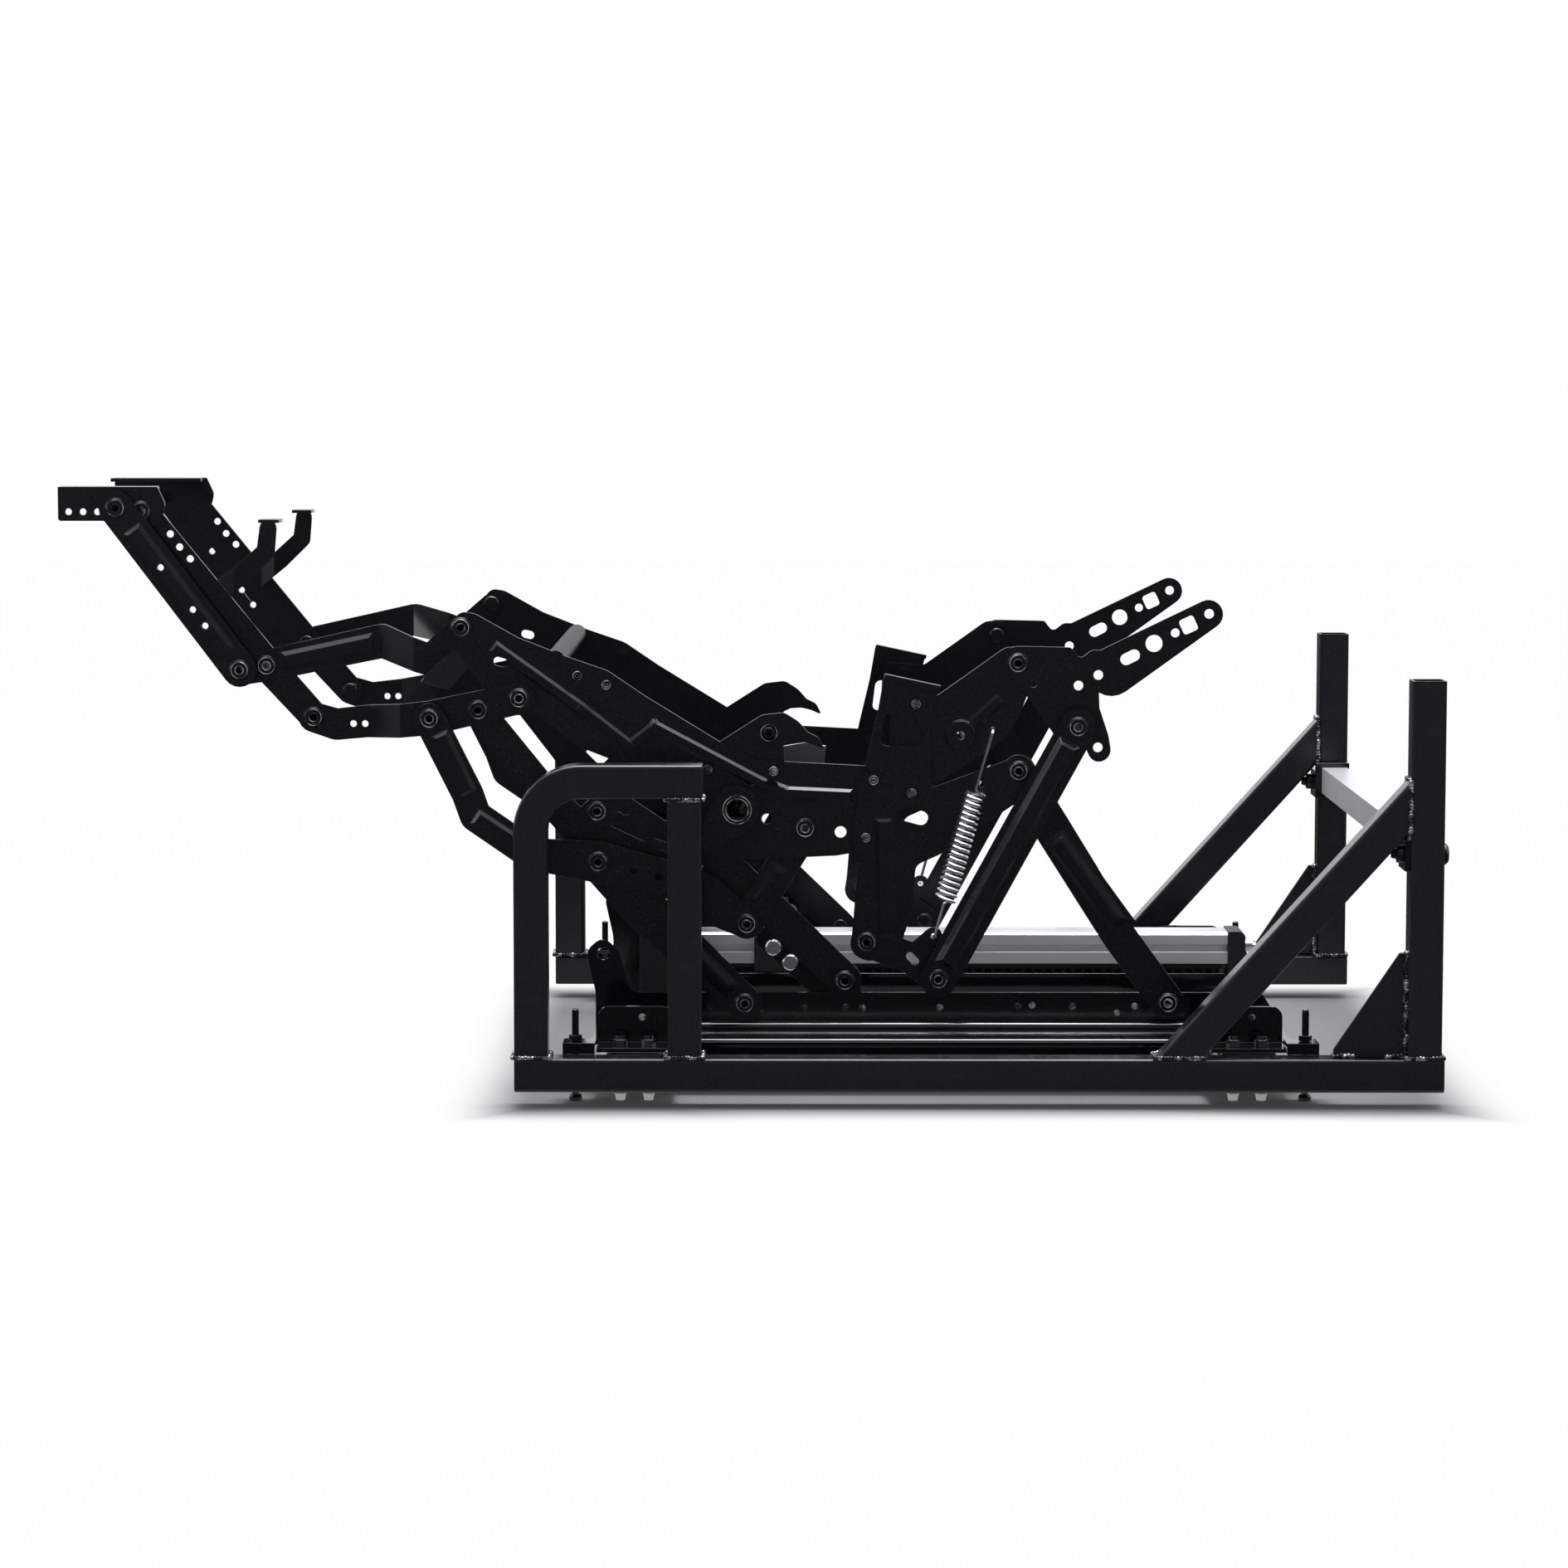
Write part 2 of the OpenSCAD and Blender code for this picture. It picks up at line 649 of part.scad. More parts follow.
// Upright bolts that clamp the cross members to their plates
module chassis_bolts() {
  head_h = 4;
  hex_r = 5.5;
  under = ground_gap - 2;
  over = member_top + clip_wall;
  for (x = [front_member_x, rear_member_x], s = [-1, 1]) both_sides() color(bright)
    translate([x + s * bolt_spread, -stud_y, under - head_h - play / 2]) {
      cylinder(h = head_h, r = hex_r, $fn = 6);
      cylinder(h = over + 12 - under, r = rivet_r, $fn = 32);
      translate([0, 0, over - under + head_h + play]) cylinder(h = 5, r = hex_r, $fn = 6);
    }
}

// Angle rail that carries the lift links, with an ear at its front end
module lift_rail() {
  y = layer(-2);
  top = rail_z + rail_height;
  ear = [rail_front + 6, rail_z + 60];
  color(gloss) difference() {
    union() {
      side_plate(plate_outline([[rail_front, rail_z, 0], [rail_rear, rail_z, 0], [rail_rear, rail_z + 6, 4],
        [rail_rear - 16, top, 6], [rail_front + 26, top, 10], [ear[0] + 12, ear[1] + 2, 8],
        [ear[0] - 1, ear[1] + 13, 8], [ear[0] - 13, ear[1] + 2, 8], [rail_front, top, 20]]), y);
      side_plate(link_outline([lobe(base_strut, 11), lobe([base_strut[0], rail_z + 18], 14)]), y);
      translate([rail_front, -flange_edge, rail_z]) cube([rail_rear - rail_front, flange_edge - y, plate]);
    }
    drill_hole(ear, 5);
    for (p = [strut_rail, base_strut, swing_rail]) rivet_hole(p);
  }
}

module left_lift_rail() {
  left_side() difference() {
    lift_rail();
    member_bolt_holes();
  }
}

module right_lift_rail() {
  right_side() difference() {
    lift_rail();
    member_bolt_holes();
  }
}

// Holes in the rail flange for the rivets that hold it on the cross members
module member_bolt_holes() {
  for (x = [front_member_x, rear_member_x])
    translate([x, -rail_bolt_y, rail_z - 1]) cylinder(h = plate + 2, r = rivet_r + fit, $fn = 32);
}

module rail_rivets() {
  both_sides() color(steel) {
    rivet(strut_rail, layer(-2), layer(-1) + plate);
    rivet(base_strut, layer(-3), layer(-2) + plate);
    rivet(swing_rail, layer(-2), layer(0) + plate, [layer(-2) + plate + play / 2, layer(0) - play / 2]);
    for (x = [front_member_x, rear_member_x])
      translate([x, -rail_bolt_y, rail_z + plate + play / 2])
        rotate_extrude($fn = 32) polygon([[0, -plate], [rivet_r, -plate], [rivet_r, 0],
          [rivet_head_r - 1, 0], [rivet_head_r - 1, 1.2], [rivet_head_r - 3, rivet_head], [0, rivet_head]]);
  }
}

// Alloy channel between the rear posts, grooved along its top
module rear_cross_bar() {
  front = post_x + 1.5;
  end = tube_y - 13;
  depth = bar_depth + 9;
  half = bar_height / 2;
  color(alloy) translate([front + shift_x, end, bar_z]) rotate([90, 0, 0]) linear_extrude(2 * end)
    polygon([[0, -half], [2, -half], [2, half - 2], [depth / 2 - 3, half - 2], [depth / 2 - 3, half - 5],
      [depth / 2 - 1, half - 5], [depth / 2 - 1, half - 2.5], [depth / 2 + 1, half - 2.5],
      [depth / 2 + 1, half - 5], [depth / 2 + 3, half - 5], [depth / 2 + 3, half - 2], [depth - 2, half - 2],
      [depth - 2, -half], [depth, -half], [depth, half], [0, half]]);
}

module cross_bar_brackets() {
  wall = 4;
  half = bar_height / 2 + 4;
  inner = tube_y - 13;
  depth = bar_depth + 12;
  both_sides() color(gloss) difference() {
    translate([post_x, 0, bar_z]) union() {
      translate([-wall, -tube_y - frame_tube + 2, -half]) cube([wall, frame_tube + 11, half + 8]);
      translate([-wall, -inner - wall, -half]) cube([depth + wall, wall, 2 * half]);
    }
    translate([post_x - 10, -tube_y - frame_tube / 2, bar_bolt_z]) rotate([0, 90, 0])
      cylinder(h = frame_tube, r = rivet_r + fit, $fn = 32);
  }
}

module cross_bar_bolts() {
  wall = 4;
  rear = post_x + frame_tube;
  both_sides() color(steel) translate([rear, -tube_y - frame_tube / 2, bar_bolt_z]) rotate([0, -90, 0])
    rotate_extrude($fn = 32) polygon([[0, -bolt_head], [rivet_head_r - 2, -bolt_head],
      [rivet_head_r, -bolt_head * 0.5], [rivet_head_r, -play / 2], [rivet_r, -play / 2],
      [rivet_r, frame_tube + wall + play / 2], [rivet_head_r - 1.5, frame_tube + wall + play / 2],
      [rivet_head_r - 1.5, frame_tube + wall + 5], [rivet_r, frame_tube + wall + 5],
      [rivet_r - 1, frame_tube + wall + 9], [0, frame_tube + wall + 9]]);
}

// Extruded rail of the actuator, slotted on both sides and open below for the screw
module actuator_rail() {
  half = actuator_width / 2;
  h = actuator_height;
  slot = rail_slot;
  wall = 3;
  color(alloy) translate([actuator_front + shift_x, 0, actuator_z]) rotate([90, 0, 90])
    linear_extrude(actuator_length) difference() {
      polygon([[-half, 0], [-slot, 0], [-slot, h - wall], [slot, h - wall], [slot, 0], [half, 0],
        [half, h / 2 - 3], [half - 4, h / 2 - 3], [half - 4, h / 2 + 3], [half, h / 2 + 3], [half, h - 2],
        [half - 2, h], [-half + 2, h], [-half, h - 2], [-half, h / 2 + 3], [-half + 4, h / 2 + 3],
        [-half + 4, h / 2 - 3], [-half, h / 2 - 3]]);
    }
}

// Toothed plastic strips under the actuator rail, on both sides of its slot
module drive_rack() {
  outer = actuator_width / 2 - 3;
  tooth = 3.5;
  length = actuator_length - 8;
  count = floor(length / rack_pitch);
  color(gloss) for (s = [0, 1]) mirror([0, s, 0])
    translate([actuator_front + 4 + shift_x, outer, actuator_z - rack_depth]) rotate([90, 0, 0])
      linear_extrude(outer - rail_slot) polygon(concat([[0, rack_depth], [0, tooth]],
        [for (i = [0:count - 1]) each [[i * rack_pitch + rack_pitch * 0.5, tooth],
          [i * rack_pitch + rack_pitch * 0.6, 0], [i * rack_pitch + rack_pitch * 0.9, 0],
          [(i + 1) * rack_pitch, tooth]]], [[length, tooth], [length, rack_depth]]));
}

module actuator_end_cap() {
  half = actuator_width / 2 + 1;
  x = actuator_front + actuator_length;
  length = 14;
  color(gloss) translate([x + shift_x, 0, 0]) {
    difference() {
      translate([0, half, actuator_z - 8]) rotate([90, 0, 0]) linear_extrude(2 * half)
        polygon(plate_outline([[0, 0, 0], [length, 0, 2], [length, actuator_height + 6, 4],
          [length - 4, actuator_height + 9, 3], [0, actuator_height + 9, 0]]));
      translate([-1, 0, screw_z]) rotate([0, 90, 0]) cylinder(h = length + 2, r = screw_r + fit, $fn = 32);
    }
  }
}

// Saddle that holds the rear end of the actuator on the rear cross member
module actuator_saddle() {
  half = actuator_width / 2 + 6;
  x0 = actuator_front + actuator_length + 1;
  length = 12;
  color(gloss) translate([x0 + shift_x, half, member_top]) rotate([90, 0, 0]) linear_extrude(2 * half)
    polygon(plate_outline([[-16, 0, 0], [length - 2, 0, 0], [length - 2, actuator_z - 8 - member_top, 0],
      [0, actuator_z - 8 - member_top, 0], [0, 5, 4], [-16, 4, 0]]));
}

module gearbox() {
  half = actuator_width / 2 + 12;
  length = 48;
  height = actuator_z + actuator_height + 10 - member_top;
  color(gloss) translate([actuator_front - length + shift_x, 0, 0]) difference() {
    translate([0, half, member_top]) rotate([90, 0, 0]) linear_extrude(2 * half)
      polygon(plate_outline([[0, 0, 0], [length, 0, 0], [length, height, 5], [8, height, 10], [0, height - 8, 8]]));
    translate([length - 12, 0, screw_z]) rotate([0, 90, 0]) cylinder(h = 20, r = screw_r + fit, $fn = 32);
  }
}

module drive_motor() {
  x = actuator_front - 25;
  y = actuator_width / 2 + 12;
  motor_drop = 8.5;
  color(steel) translate([x + shift_x, y, screw_z - motor_drop]) rotate([-90, 0, 0])
    rotate_extrude($fn = 48) polygon([[0, 0], [motor_r + 3, 0], [motor_r + 3, 6], [motor_r, 6],
      [motor_r, motor_length - 8], [motor_r - 3, motor_length - 3], [9, motor_length - 3],
      [9, motor_length], [0, motor_length]]);
}

module drive_screw() {
  x = actuator_front - 10;
  length = actuator_length + 34;
  color(bright) translate([x + shift_x, 0, screw_z]) rotate([0, 90, 0]) rotate_extrude($fn = 32)
    polygon([[0, 0], [screw_r, 0], [screw_r, length - 3], [screw_r - 2, length], [0, length]]);
}

// Carriage round the actuator rail: its nut runs on the screw, its ears carry the push link
module drive_carriage() {
  wall = 4.7;
  gap = 0.3;
  run = 36;
  half = actuator_width / 2 + gap + wall;
  low = actuator_z - rack_depth - gap;
  top = actuator_z + actuator_height + gap;
  neck = rail_slot - 0.4;
  ear = 4;
  inside = 7;
  color(gloss) placed() difference() {
    translate([carriage_pin[0] - run / 2, 0, 0]) union() {
      rotate([90, 0, 90]) linear_extrude(run) difference() {
        polygon([[-half, low - wall], [half, low - wall], [half, top + wall], [-half, top + wall]]);
        polygon([[-half + wall, low], [-neck, low], [-neck, screw_z + 7], [neck, screw_z + 7],
          [neck, low], [half - wall, low], [half - wall, top], [-half + wall, top]]);
      }
      for (s = [0, 1]) mirror([0, s, 0]) translate([run / 2 - 9, inside, top + wall - 0.1])
        cube([18, ear, carriage_pin[1] - top + 3]);
    }
    drill_hole(carriage_pin, rivet_r + fit);
    translate([carriage_pin[0] - run, 0, screw_z]) rotate([0, 90, 0])
      cylinder(h = 2 * run, r = screw_r + fit, $fn = 32);
  }
}

// Link between the carriage and the crank on the torque tube, with its lower pin
module push_link() {
  half = 6.5;
  color(steel) placed() {
    translate([0, half, 0]) rotate([90, 0, 0]) linear_extrude(2 * half)
      polygon(link_outline([lobe(carriage_pin, 9), lobe(crank_pin, 9)]));
    translate([carriage_pin[0], 12.5, carriage_pin[1]]) rotate([90, 0, 0])
      cylinder(h = 25, r = rivet_r, $fn = 32);
  }
}

module rear_swing_links() {
  y = layer(0);
  knee = [60, 195];
  waist = [111, 113];
  both_sides() color(steel) {
    difference() {
      union() {
        side_plate(link_outline([lobe(swing_seat, slim_half), lobe(knee, strut_half + 1),
          lobe(waist, strut_half), lobe(swing_rail, strut_half)]), y);
        rib(knee + [6, -14], waist + [-5, 14], y + plate, 8);
      }
      for (p = [swing_seat, swing_rail]) rivet_hole(p);
    }
  }
}

function unit(v) = v / norm(v);
// Centre line of the return spring in its own frame: down from the top hook, coil, foot hook
function spring_path(reach, coil_start, coil_end, hook_in) = concat(
  [[0, hook_in, 0], [0, 4, 0], [0, 1.2, -0.6], [0, 0, -2.4], [0, 0, 3 - coil_start],
    [spring_r * 0.45, 0, 0.6 - coil_start]],
  [for (i = [0:spring_turns * coil_rings]) let (a = 360 * i / coil_rings)
    [spring_r * cos(a), spring_r * sin(a), -coil_start - (coil_end - coil_start) * i / (spring_turns * coil_rings)]],
  [[spring_r * 0.45, 0, -coil_end - 0.6], [0, 0, -coil_end - 3], [0, 0, 2.4 - reach],
    [0, 1.2, 0.6 - reach], [0, 4, -reach], [0, hook_in, -reach]]);
function path_tangent(path, i) =
  unit(path[min(i + 1, len(path) - 1)] - path[max(i - 1, 0)]);
function carried(n, t) = unit(n - (n * t) * t);
// Points round each station of a path, carried along without twist
function sweep_points(path, r, sides) = [for (i = 0, n = carried([1, 0, 0], path_tangent(path, 0));
    i < len(path); i = i + 1, n = i < len(path) ? carried(n, path_tangent(path, i)) : n)
  let (b = cross(path_tangent(path, i), n))
  for (k = [0:sides - 1]) path[i] + r * (cos(360 * k / sides) * n + sin(360 * k / sides) * b)];
function sweep_faces(stations, sides) = concat(
  [[for (k = [0:sides - 1]) k]],
  [for (i = [0:stations - 2], k = [0:sides - 1])
    each [[i * sides + k, (i + 1) * sides + k, i * sides + (k + 1) % sides],
      [i * sides + (k + 1) % sides, (i + 1) * sides + k, (i + 1) * sides + (k + 1) % sides]]],
  [[for (k = [sides - 1:-1:0]) (stations - 1) * sides + k]]);
coil_rings = 8;
wire_sides = 6;
// Depth of the spring in front of the hanger plates
spring_y = hanger_y + plate + spring_r + wire_r + 1.05;
spring_reach = norm(spring_top - spring_foot);
spring_line = spring_path(spring_reach, 50, 134, spring_y - layer(0) - plate / 2);
spring_gap = min([for (i = [0:len(spring_line) - 1], j = [i + coil_rings - 2:1:len(spring_line) - 1])
  norm(spring_line[i] - spring_line[j])]) - 2 * wire_r;
echo("least gap of the spring wire to itself", spring_gap);

// Pressed side plate of the seat, with a stiffening crest along its top edge
module seat_side_plates() {
  y = layer(0);
  // Ear bent out of the front edge of the plate
  tab = [-396, 329];
  tab_heading = -57;
  tab_bend = 25;
  both_sides() color(steel) difference() {
    union() {
      side_plate(plate_outline(seat_outline), y);
      for (i = [0:len(seat_crest) - 2])
        rib(seat_crest[i], seat_crest[i + 1], y + plate, crest_half, crest_height + (i % 2) * crest_step);
      translate([tab[0], -y - plate / 2, tab[1]]) rotate([0, -tab_heading, 0])
        rotate([90 - tab_bend, 0, 0]) linear_extrude(plate)
          polygon([[-1, 3], [17, 3], [22.5, -18], [17, -25], [6, -34], [2, -24]]);
    }
    for (p = [lower_seat, carrier_seat, rocker_seat, seat_strut]) rivet_hole(p);
    for (p = concat(seat_front_rivets, bracket_rivets, side_plate_rivets)) drill_hole(p, small_r + fit);
    drill_hole(torque_axis, collar_r + fit);
    drill_slot([-361, 322], [-357, 321], 3.4);
    drill_slot([-155, 230], [-151, 228], 2.6);
    drill_hole([-157, 202], 4);
    drill_hole([-101, 192], 4.5);
  }
}

// Small pressed brackets inside the seat plates
module inner_brackets() {
  y = layer(-1);
  ring_height = 1.8;
  both_sides() color(steel) difference() {
    union() {
      side_plate(plate_outline(bracket_outline), y);
      pivot_boss(bracket_ring, y + plate - embed, 5, ring_height);
    }
    for (p = bracket_rivets) drill_hole(p, small_r + fit);
    translate([bracket_ring[0], -y - plate, bracket_ring[1]]) rotate([90, 0, 0])
      cylinder(h = ring_height, r = 2.4, $fn = 32);
  }
}

// Upright plates behind the hangers that carry the back brackets
module back_pivot_plates() {
  y = layer(0);
  boss = [-10, 266];
  both_sides() color(steel) difference() {
    union() {
      side_plate(plate_outline(back_plate_outline), y);
      pivot_boss(boss, y + plate, 12, 2);
      rib(boss + [9, 8], boss + [27, 25], y + plate, 5, 1.6);
    }
    rivet_hole(back_seat);
    drill_hole(boss, 3.2);
    drill_hole(spring_top, hook_hole_r);
    for (p = back_plate_rivets) drill_hole(p, small_r + fit);
  }
}

// Pressed hangers: the back cranks hang at their feet and the swing links at their rear
module rear_hangers() {
  y = hanger_y;
  lip = 8;
  both_sides() color(steel) difference() {
    union() {
      side_plate(plate_outline(hanger_outline), y);
      rib([-66, 118], [-68, 196], y + plate, 7, 1.8);
      translate([-68, -y - lip, 310]) rotate([0, 12, 0]) cube([43, lip + 0.1, plate]);
    }
    for (p = [crank_seat, swing_seat]) rivet_hole(p);
    for (p = hanger_rivets) drill_hole(p, small_r + fit);
    side_cut(plate_outline([[-71, 258, 4], [-68, 283, 5], [-46, 283, 6], [-38, 268, 3], [-40, 258, 3]]));
    drill_slot([-51, 206], [-40, 203], 5.5);
    drill_hole([6, 229], 2.4);
  }
}

// Round tubes that tie the two seat sides together
module seat_cross_tubes() {
  length = 2 * layer(0);
  wall = 1.6;
  placed() color(steel) for (p = [front_tube, rear_tube])
    translate([p[0], layer(0), p[1]]) rotate([90, 0, 0]) difference() {
      cylinder(h = length, r = tube_r, $fn = 40);
      translate([0, 0, -1]) cylinder(h = length + 2, r = tube_r - wall, $fn = 40);
    }
}

module seat_rivets() {
  hanger_face = hanger_y + plate;
  both_sides() color(steel) {
    rivet(lower_seat, layer(0), layer(1) + plate);
    rivet(carrier_seat, layer(-1), layer(0) + plate);
    rivet(rocker_seat, layer(-1), layer(0) + plate);
    pin_in(seat_strut, layer(-3), layer(0) + plate, [layer(-3) + plate + play / 2, layer(0) - play / 2]);
    rivet(back_seat, layer(0), layer(1) + plate);
    rivet(crank_seat, layer(0), hanger_face);
    rivet(swing_seat, layer(0), hanger_face);
    for (p = seat_front_rivets) small_rivet(p, layer(0), layer(0) + plate);
    for (p = bracket_rivets) small_rivet(p, layer(-1), layer(0) + plate);
    for (p = hanger_rivets) small_rivet(p, layer(0), hanger_face);
  }
}

// Extension springs between the back pivot plates and the back cranks
module return_springs() {
  both_sides() color(bright) translate([spring_top[0], -spring_y, spring_top[1]])
    rotate([0, 90 - heading(spring_foot, spring_top), 0])
    polyhedron(points = sweep_points(spring_line, wire_r, wire_sides),
      faces = sweep_faces(len(spring_line), wire_sides), convexity = 4);
}

// Upper footrest links, stepping inwards ahead of the seat plates
module carrier_links() {
  hip = [-451, 335.5];
  dip = [-412.5, 322.5];
  end_r = 8.5;
  y = inner_layer(1);
  along = unit(hip - carrier_inner);
  both_sides() color(steel) {
    difference() {
      union() {
        stepped_plate(link_outline([lobe(carrier_outer, slim_half), lobe(carrier_inner, slim_half),
          lobe(hip, slim_half + 1), lobe(dip, slim_half), lobe(carrier_seat, end_r)]),
          [[-700, y], [-452, y], [-424, layer(-1)], [0, layer(-1)]]);
        rib(carrier_inner + 20 * along, hip - 14 * along, y + plate, slim_half - 4, 2.4);
      }
      rivet_hole(carrier_seat);
    }
    pin_out(carrier_outer, y, inner_layer(3) + plate, [y + plate - embed, inner_layer(3) - play / 2]);
    rivet(carrier_inner, inner_layer(0), y + plate);
  }
}

// Flat inner links between the footrest brackets and the lower carrier links
module inner_links() {
  y = inner_layer(0);
  both_sides() color(steel) {
    difference() {
      side_plate(link_outline([lobe(bracket_inner, slim_half - 1), lobe(carrier_inner, slim_half),
        lobe(lower_inner, slim_half - 1)]), y);
      rivet_hole(carrier_inner);
      for (p = [[-613, 417], [-606, 407], [-598, 398]]) drill_hole(p, 2.8);
    }
    pin_out(bracket_inner, y, inner_layer(1) + plate);
    stud_tail(lower_inner, y);
  }
}

// Hooks fixed inside the inner links: a strap that steps inwards and turns up to a flange
module footrest_hooks() {
  outer = inner_layer(0) - plate;
  inner = outer - 11;
  top = [-540, 421];
  half = 6.5;
  both_sides() color(steel) {
    stepped_plate(link_outline([[-583, 368, 8], [-560, 386, half + 1], [-542, 403, half + 0.5], lobe(top, half)]),
      [[-700, outer], [-577, outer], [-565, inner], [-500, inner]]);
    translate([top[0] - half - 1, -inner - plate, top[1] + half - 2.5]) cube([2 * half + 3, 24, 2.5]);
  }
}

// Footrest brackets with a flange turned in along the top
module footrest_brackets() {
  y = inner_layer(1);
  top = bracket_outer[1] + 16;
  depth = 26;
  flange = 22;
  rear = bracket_inner[0] + 12.5;
  both_sides() color(steel) difference() {
    union() {
      side_plate(plate_outline([[bracket_front, top, 0], [rear, top, 2], [rear + 6, top - 13, 8],
        [rear + 2, top - 30, 10], [rear - 28, top - 33, 10], [rear - 40, top - depth, 6],
        [bracket_front, top - depth, 2]]), y);
      translate([bracket_front, -y - plate, top - plate]) cube([rear - 2 - bracket_front, flange + plate, plate]);
    }
    for (p = [bracket_outer, bracket_inner]) rivet_hole(p);
    for (i = [0:2]) drill_hole([bracket_front + 8 + 11 * i, top - 19], 2.6);
  }
}

// Outer footrest links, pressed into shallow channels
module outer_links() {
  y = inner_layer(3);
  run = (carrier_outer - bracket_outer) / 20;
  both_sides() color(steel) {
    difference() {
      union() {
        side_plate(link_outline([lobe(bracket_outer, slim_half + 1), lobe(carrier_outer, slim_half + 1)]), y);
        rib(bracket_outer + 3.5 * run, carrier_outer - 3 * run, y + plate, 8);
      }
      rivet_hole(carrier_outer);
      for (i = [7.3, 12.5, 14.5]) drill_hole(bracket_outer + i * run, 2.6);
    }
    stud_head(bracket_outer, y + plate);
  }
}

// Lower footrest links, stepping inwards ahead of their control pivots
module lower_carrier_links() {
  dip = [-487, 271.5];
  y = inner_layer(1);
  both_sides() color(steel) {
    difference() {
      stepped_plate(link_outline([lobe(lower_inner, slim_half - 0.5), lobe(dip, slim_half),
        lobe(lower_control, slim_half + 1), lobe(lower_seat, slim_half)]),
        [[-700, y], [-462, y], [-434, layer(1)], [0, layer(1)]]);
      rivet_hole(lower_seat);
      for (x = [-474, -465]) drill_hole([x, 272], 2.6);
    }
    stud_head(lower_inner, y + plate);
    rivet(lower_drive, layer(0), layer(1) + plate);
    pin_out(lower_control, layer(1), layer(3) + plate, [layer(1) + plate - embed, layer(3) - play / 2]);
  }
}

// Bent control links with a broad plate at their lower end
module control_links() {
  y = layer(3);
  bends = [[-384, 222], [-378, 205], [-336, 176]];
  tail = [-239, 159];
  both_sides() color(steel) {
    difference() {
      union() {
        side_plate(link_outline([lobe(lower_control, slim_half), lobe(bends[0], slim_half),
          lobe(bends[1], slim_half), lobe(bends[2], slim_half), lobe(strut_control, 16),
          lobe(tail, 14)]), y);
        rib(bends[0] + [-18, 40], bends[0] + [-2, 6], y + plate, 7, 2.6);
        rib(bends[1] + [5, -4], bends[2] + [-4, 3], y + plate, 7, 2.6);
      }
      rivet_hole(lower_control);
      drill_hole(tail, 3.2);
      drill_hole(tail + [-19, 4], 2.4);
    }
    stud_head(strut_control, y + plate);
  }
}

// Long curved drive links between the lower carriers and the rockers
module drive_links() {
  y = layer(0);
  knees = [[-324, 219], [-299, 193], [-242, 165], [-206, 142]];
  both_sides() color(steel) {
    difference() {
      union() {
        side_plate(link_outline([lobe(lower_drive, slim_half - 1), lobe(knees[0], slim_half),
          lobe(knees[1], slim_half + 1), lobe(knees[2], slim_half + 2), lobe(knees[3], 18),
          lobe(rocker_drive, slim_half - 1)]), y);
        side_plate(link_outline([lobe(knees[1], slim_half), lobe(lever_drive, slim_half - 1)]), y);
      }
      rivet_hole(lower_drive);
      drill_slot([-252, 172], [-246, 169], 2.6);
    }
    stud_head(rocker_drive, y + plate);
  }
}

// Rockers on the seat plates
module rockers() {
  y = layer(-1);
  run = unit(rocker_drive - rocker_seat);
  both_sides() color(steel) {
    difference() {
      union() {
        side_plate(link_outline([lobe(rocker_seat, strut_half), lobe(rocker_drive, slim_half)]), y);
        rib(rocker_seat + 42 * run, rocker_seat + 62 * run, y + plate, 6, 2);
      }
      rivet_hole(rocker_seat);
    }
    stud_tail(rocker_drive, y);
  }
}

// Tube that joins the two rockers
module rocker_shaft() {
  length = 2 * layer(-1);
  placed() color(steel) translate([rocker_seat[0], layer(-1), rocker_seat[1]]) rotate([90, 0, 0])
    difference() {
      cylinder(h = length, r = shaft_r, $fn = 48);
      translate([0, 0, -1]) cylinder(h = length + 2, r = shaft_r - 2.4, $fn = 48);
    }
}

// Zinc sector clamped on the rocker shaft beside the actuator
module shaft_sector() {
  placed() color(alloy) difference() {
    side_plate(concat(arc(rocker_seat, 54, 72, 36), arc(rocker_seat, 15, 150, 240)), 38);
    drill_hole(rocker_seat, shaft_r + fit);
  }
}

// Square tube across the mechanism with its crank, turned by the actuator
module torque_tube() {
  end = layer(2) + plate;
  half = torque_side / 2;
  wall = 2;
  cheek = 4;
  inside = 7;
  color(steel) placed() {
    difference() {
      union() {
        translate([torque_axis[0] - half, -end, torque_axis[1] - half]) cube([2 * half, 2 * end, 2 * half]);
        for (s = [0, 1]) mirror([0, s, 0]) {
          turned(torque_axis, [[0, layer(-1)], [collar_r, layer(-1)], [collar_r, layer(2) - play],
            [0, layer(2) - play]]);
          side_plate(link_outline([lobe(torque_axis, 15), lobe(crank_pin, 9)]), inside, cheek);
        }
      }
      translate([torque_axis[0] - half + wall, -end - 1, torque_axis[1] - half + wall])
        cube([2 * (half - wall), 2 * end + 2, 2 * (half - wall)]);
    }
    for (s = [0, 1]) mirror([0, s, 0]) stud_head(crank_pin, inside + cheek);
  }
}

// Levers on the square ends of the torque tube
module torque_levers() {
  y = layer(2);
  half = torque_side / 2 + fit;
  both_sides() color(steel) {
    difference() {
      side_plate(link_outline([lobe(torque_axis, 18), lobe(lever_end, 10)]), y);
      translate([torque_axis[0] - half, -y - 2 * plate, torque_axis[1] - half])
        cube([2 * half, 3 * plate, 2 * half]);
    }
    turned(lever_end, [[0, layer(1)], [rivet_r, layer(1)], [rivet_r, y + embed], [0, y + embed]]);
  }
}

// Flat links from the torque levers to the drive links
module lever_links() {
  y = layer(1);
  bolt = [-265, 208];
  both_sides() color(steel) {
    difference() {
      side_plate(link_outline([lobe(lever_drive, slim_half - 1), lobe(bolt, 11), lobe([-238, 190], 11),
        lobe(lever_end, 10)]), y);
      rivet_hole(lever_end);
      drill_hole(bolt, 3);
      drill_slot([-241, 189], [-233, 186], 1.8);
    }
    stud_head(lever_drive, y + plate);
  }
}

